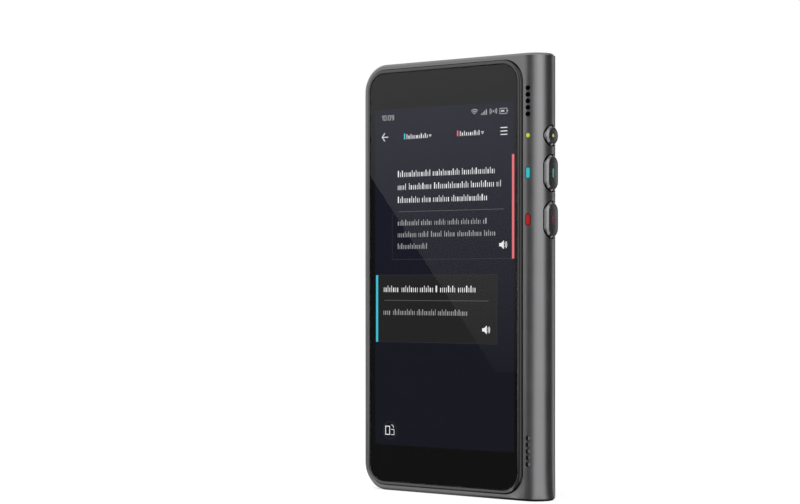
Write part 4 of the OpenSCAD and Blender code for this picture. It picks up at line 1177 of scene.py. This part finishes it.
# %% Shade at the foot
SHADE_BACK = 0.0058
shade_light = card_material("foot_shade", 0.3, 0.03, (-0.022, -0.004), "X")
for name, left, right, front in (
    ("spine_foot_shade", -0.006, 0.0062, -0.0062), ("body_foot_shade", -0.0535, -0.006, -0.0085),
):
    mirrored_sheet(name, level_corners(left, right, front, SHADE_BACK, 2 * GROUND), shade_light)

# %% [markdown]
# ### What the screen mirrors
# From the camera the glass mirrors one small patch of the room, in front and to the left. A card
# stands there whose slanted edge runs across the screen as a soft highlight does, brighter towards
# its top. Below it the glass mirrors the floor, so a dark sheet lies there, which only reflections
# see.

# %% Mirror card
CARD_Y, CARD_TOP, CARD_RIGHT, CARD_LEFT = -0.6, 0.2107, -0.385, -0.60
SLANT_FOOT, SLANT_HEAD = -0.4285, -0.5970
for name, across, light in (
    ("mirror_card", (SLANT_FOOT, CARD_RIGHT, CARD_RIGHT, SLANT_HEAD),
     ("card_light", 0.2, 0.95, (0.0, 0.21))),
    ("mirror_flag", (CARD_LEFT, SLANT_FOOT, SLANT_HEAD, CARD_LEFT), ("mirror_dark", 0.125)),
):
    upright = [(x, CARD_Y, z) for x, z in zip(across, (0, 0, CARD_TOP, CARD_TOP))]
    mirrored_sheet(name, upright, card_material(*light))
LOW_NEAR = -0.0235
mirrored_sheet(
    "low_flag",
    [(CARD_LEFT, CARD_Y, GROUND), (CARD_RIGHT, CARD_Y, GROUND), (0.0, LOW_NEAR, GROUND),
     (-0.085, LOW_NEAR, GROUND)],
    card_material("low_dark", 0.125),
)


# %% Lamps
def soft_light(name, place, aim, width, height, radiance):
    """Rectangular lamp that faces its aim. Its power is the radiance times pi times its area."""
    data = bpy.data.lights.new(name, "AREA")
    data.shape = "RECTANGLE"
    data.size, data.size_y = width, height
    data.energy = radiance * math.pi * width * height
    lamp = new_object(name, data)
    back = np.array(place) - np.array(aim)
    back = back / np.linalg.norm(back)
    yaw = math.atan2(back[0], -back[1])
    pitch = math.asin(back[2])
    lamp.location = place
    lamp.rotation_euler = (math.pi / 2 - pitch, 0, yaw)
    lamp.visible_camera = False
    lamp.visible_glossy = False
    print(name, "power", round(data.energy, 2))


AIM, LAMP_RADIANCE = (0, 0, 0.06), 1.6
soft_light("side_light", (*around(68, 0.9), 0.25), AIM, 0.62, 1.3, LAMP_RADIANCE)
soft_light("top_light", (-0.2, -0.5, 1.0), AIM, 0.7, 0.7, LAMP_RADIANCE)

# %% Camera
camera_data = bpy.data.cameras.new("camera")
camera_data.lens = 88.69
camera_data.sensor_width = 36
camera_data.shift_y = 0.0381
camera_data.clip_start = 0.01
camera = new_object("camera", camera_data)
camera.location = (0.28582, -0.42268, 0.0561)
camera.rotation_euler = (math.pi / 2, 0, math.radians(38))
bpy.context.scene.camera = camera
bpy.context.scene.view_settings.view_transform = "Standard"
print("camera", [round(c, 3) for c in camera.location], "lens", camera_data.lens)
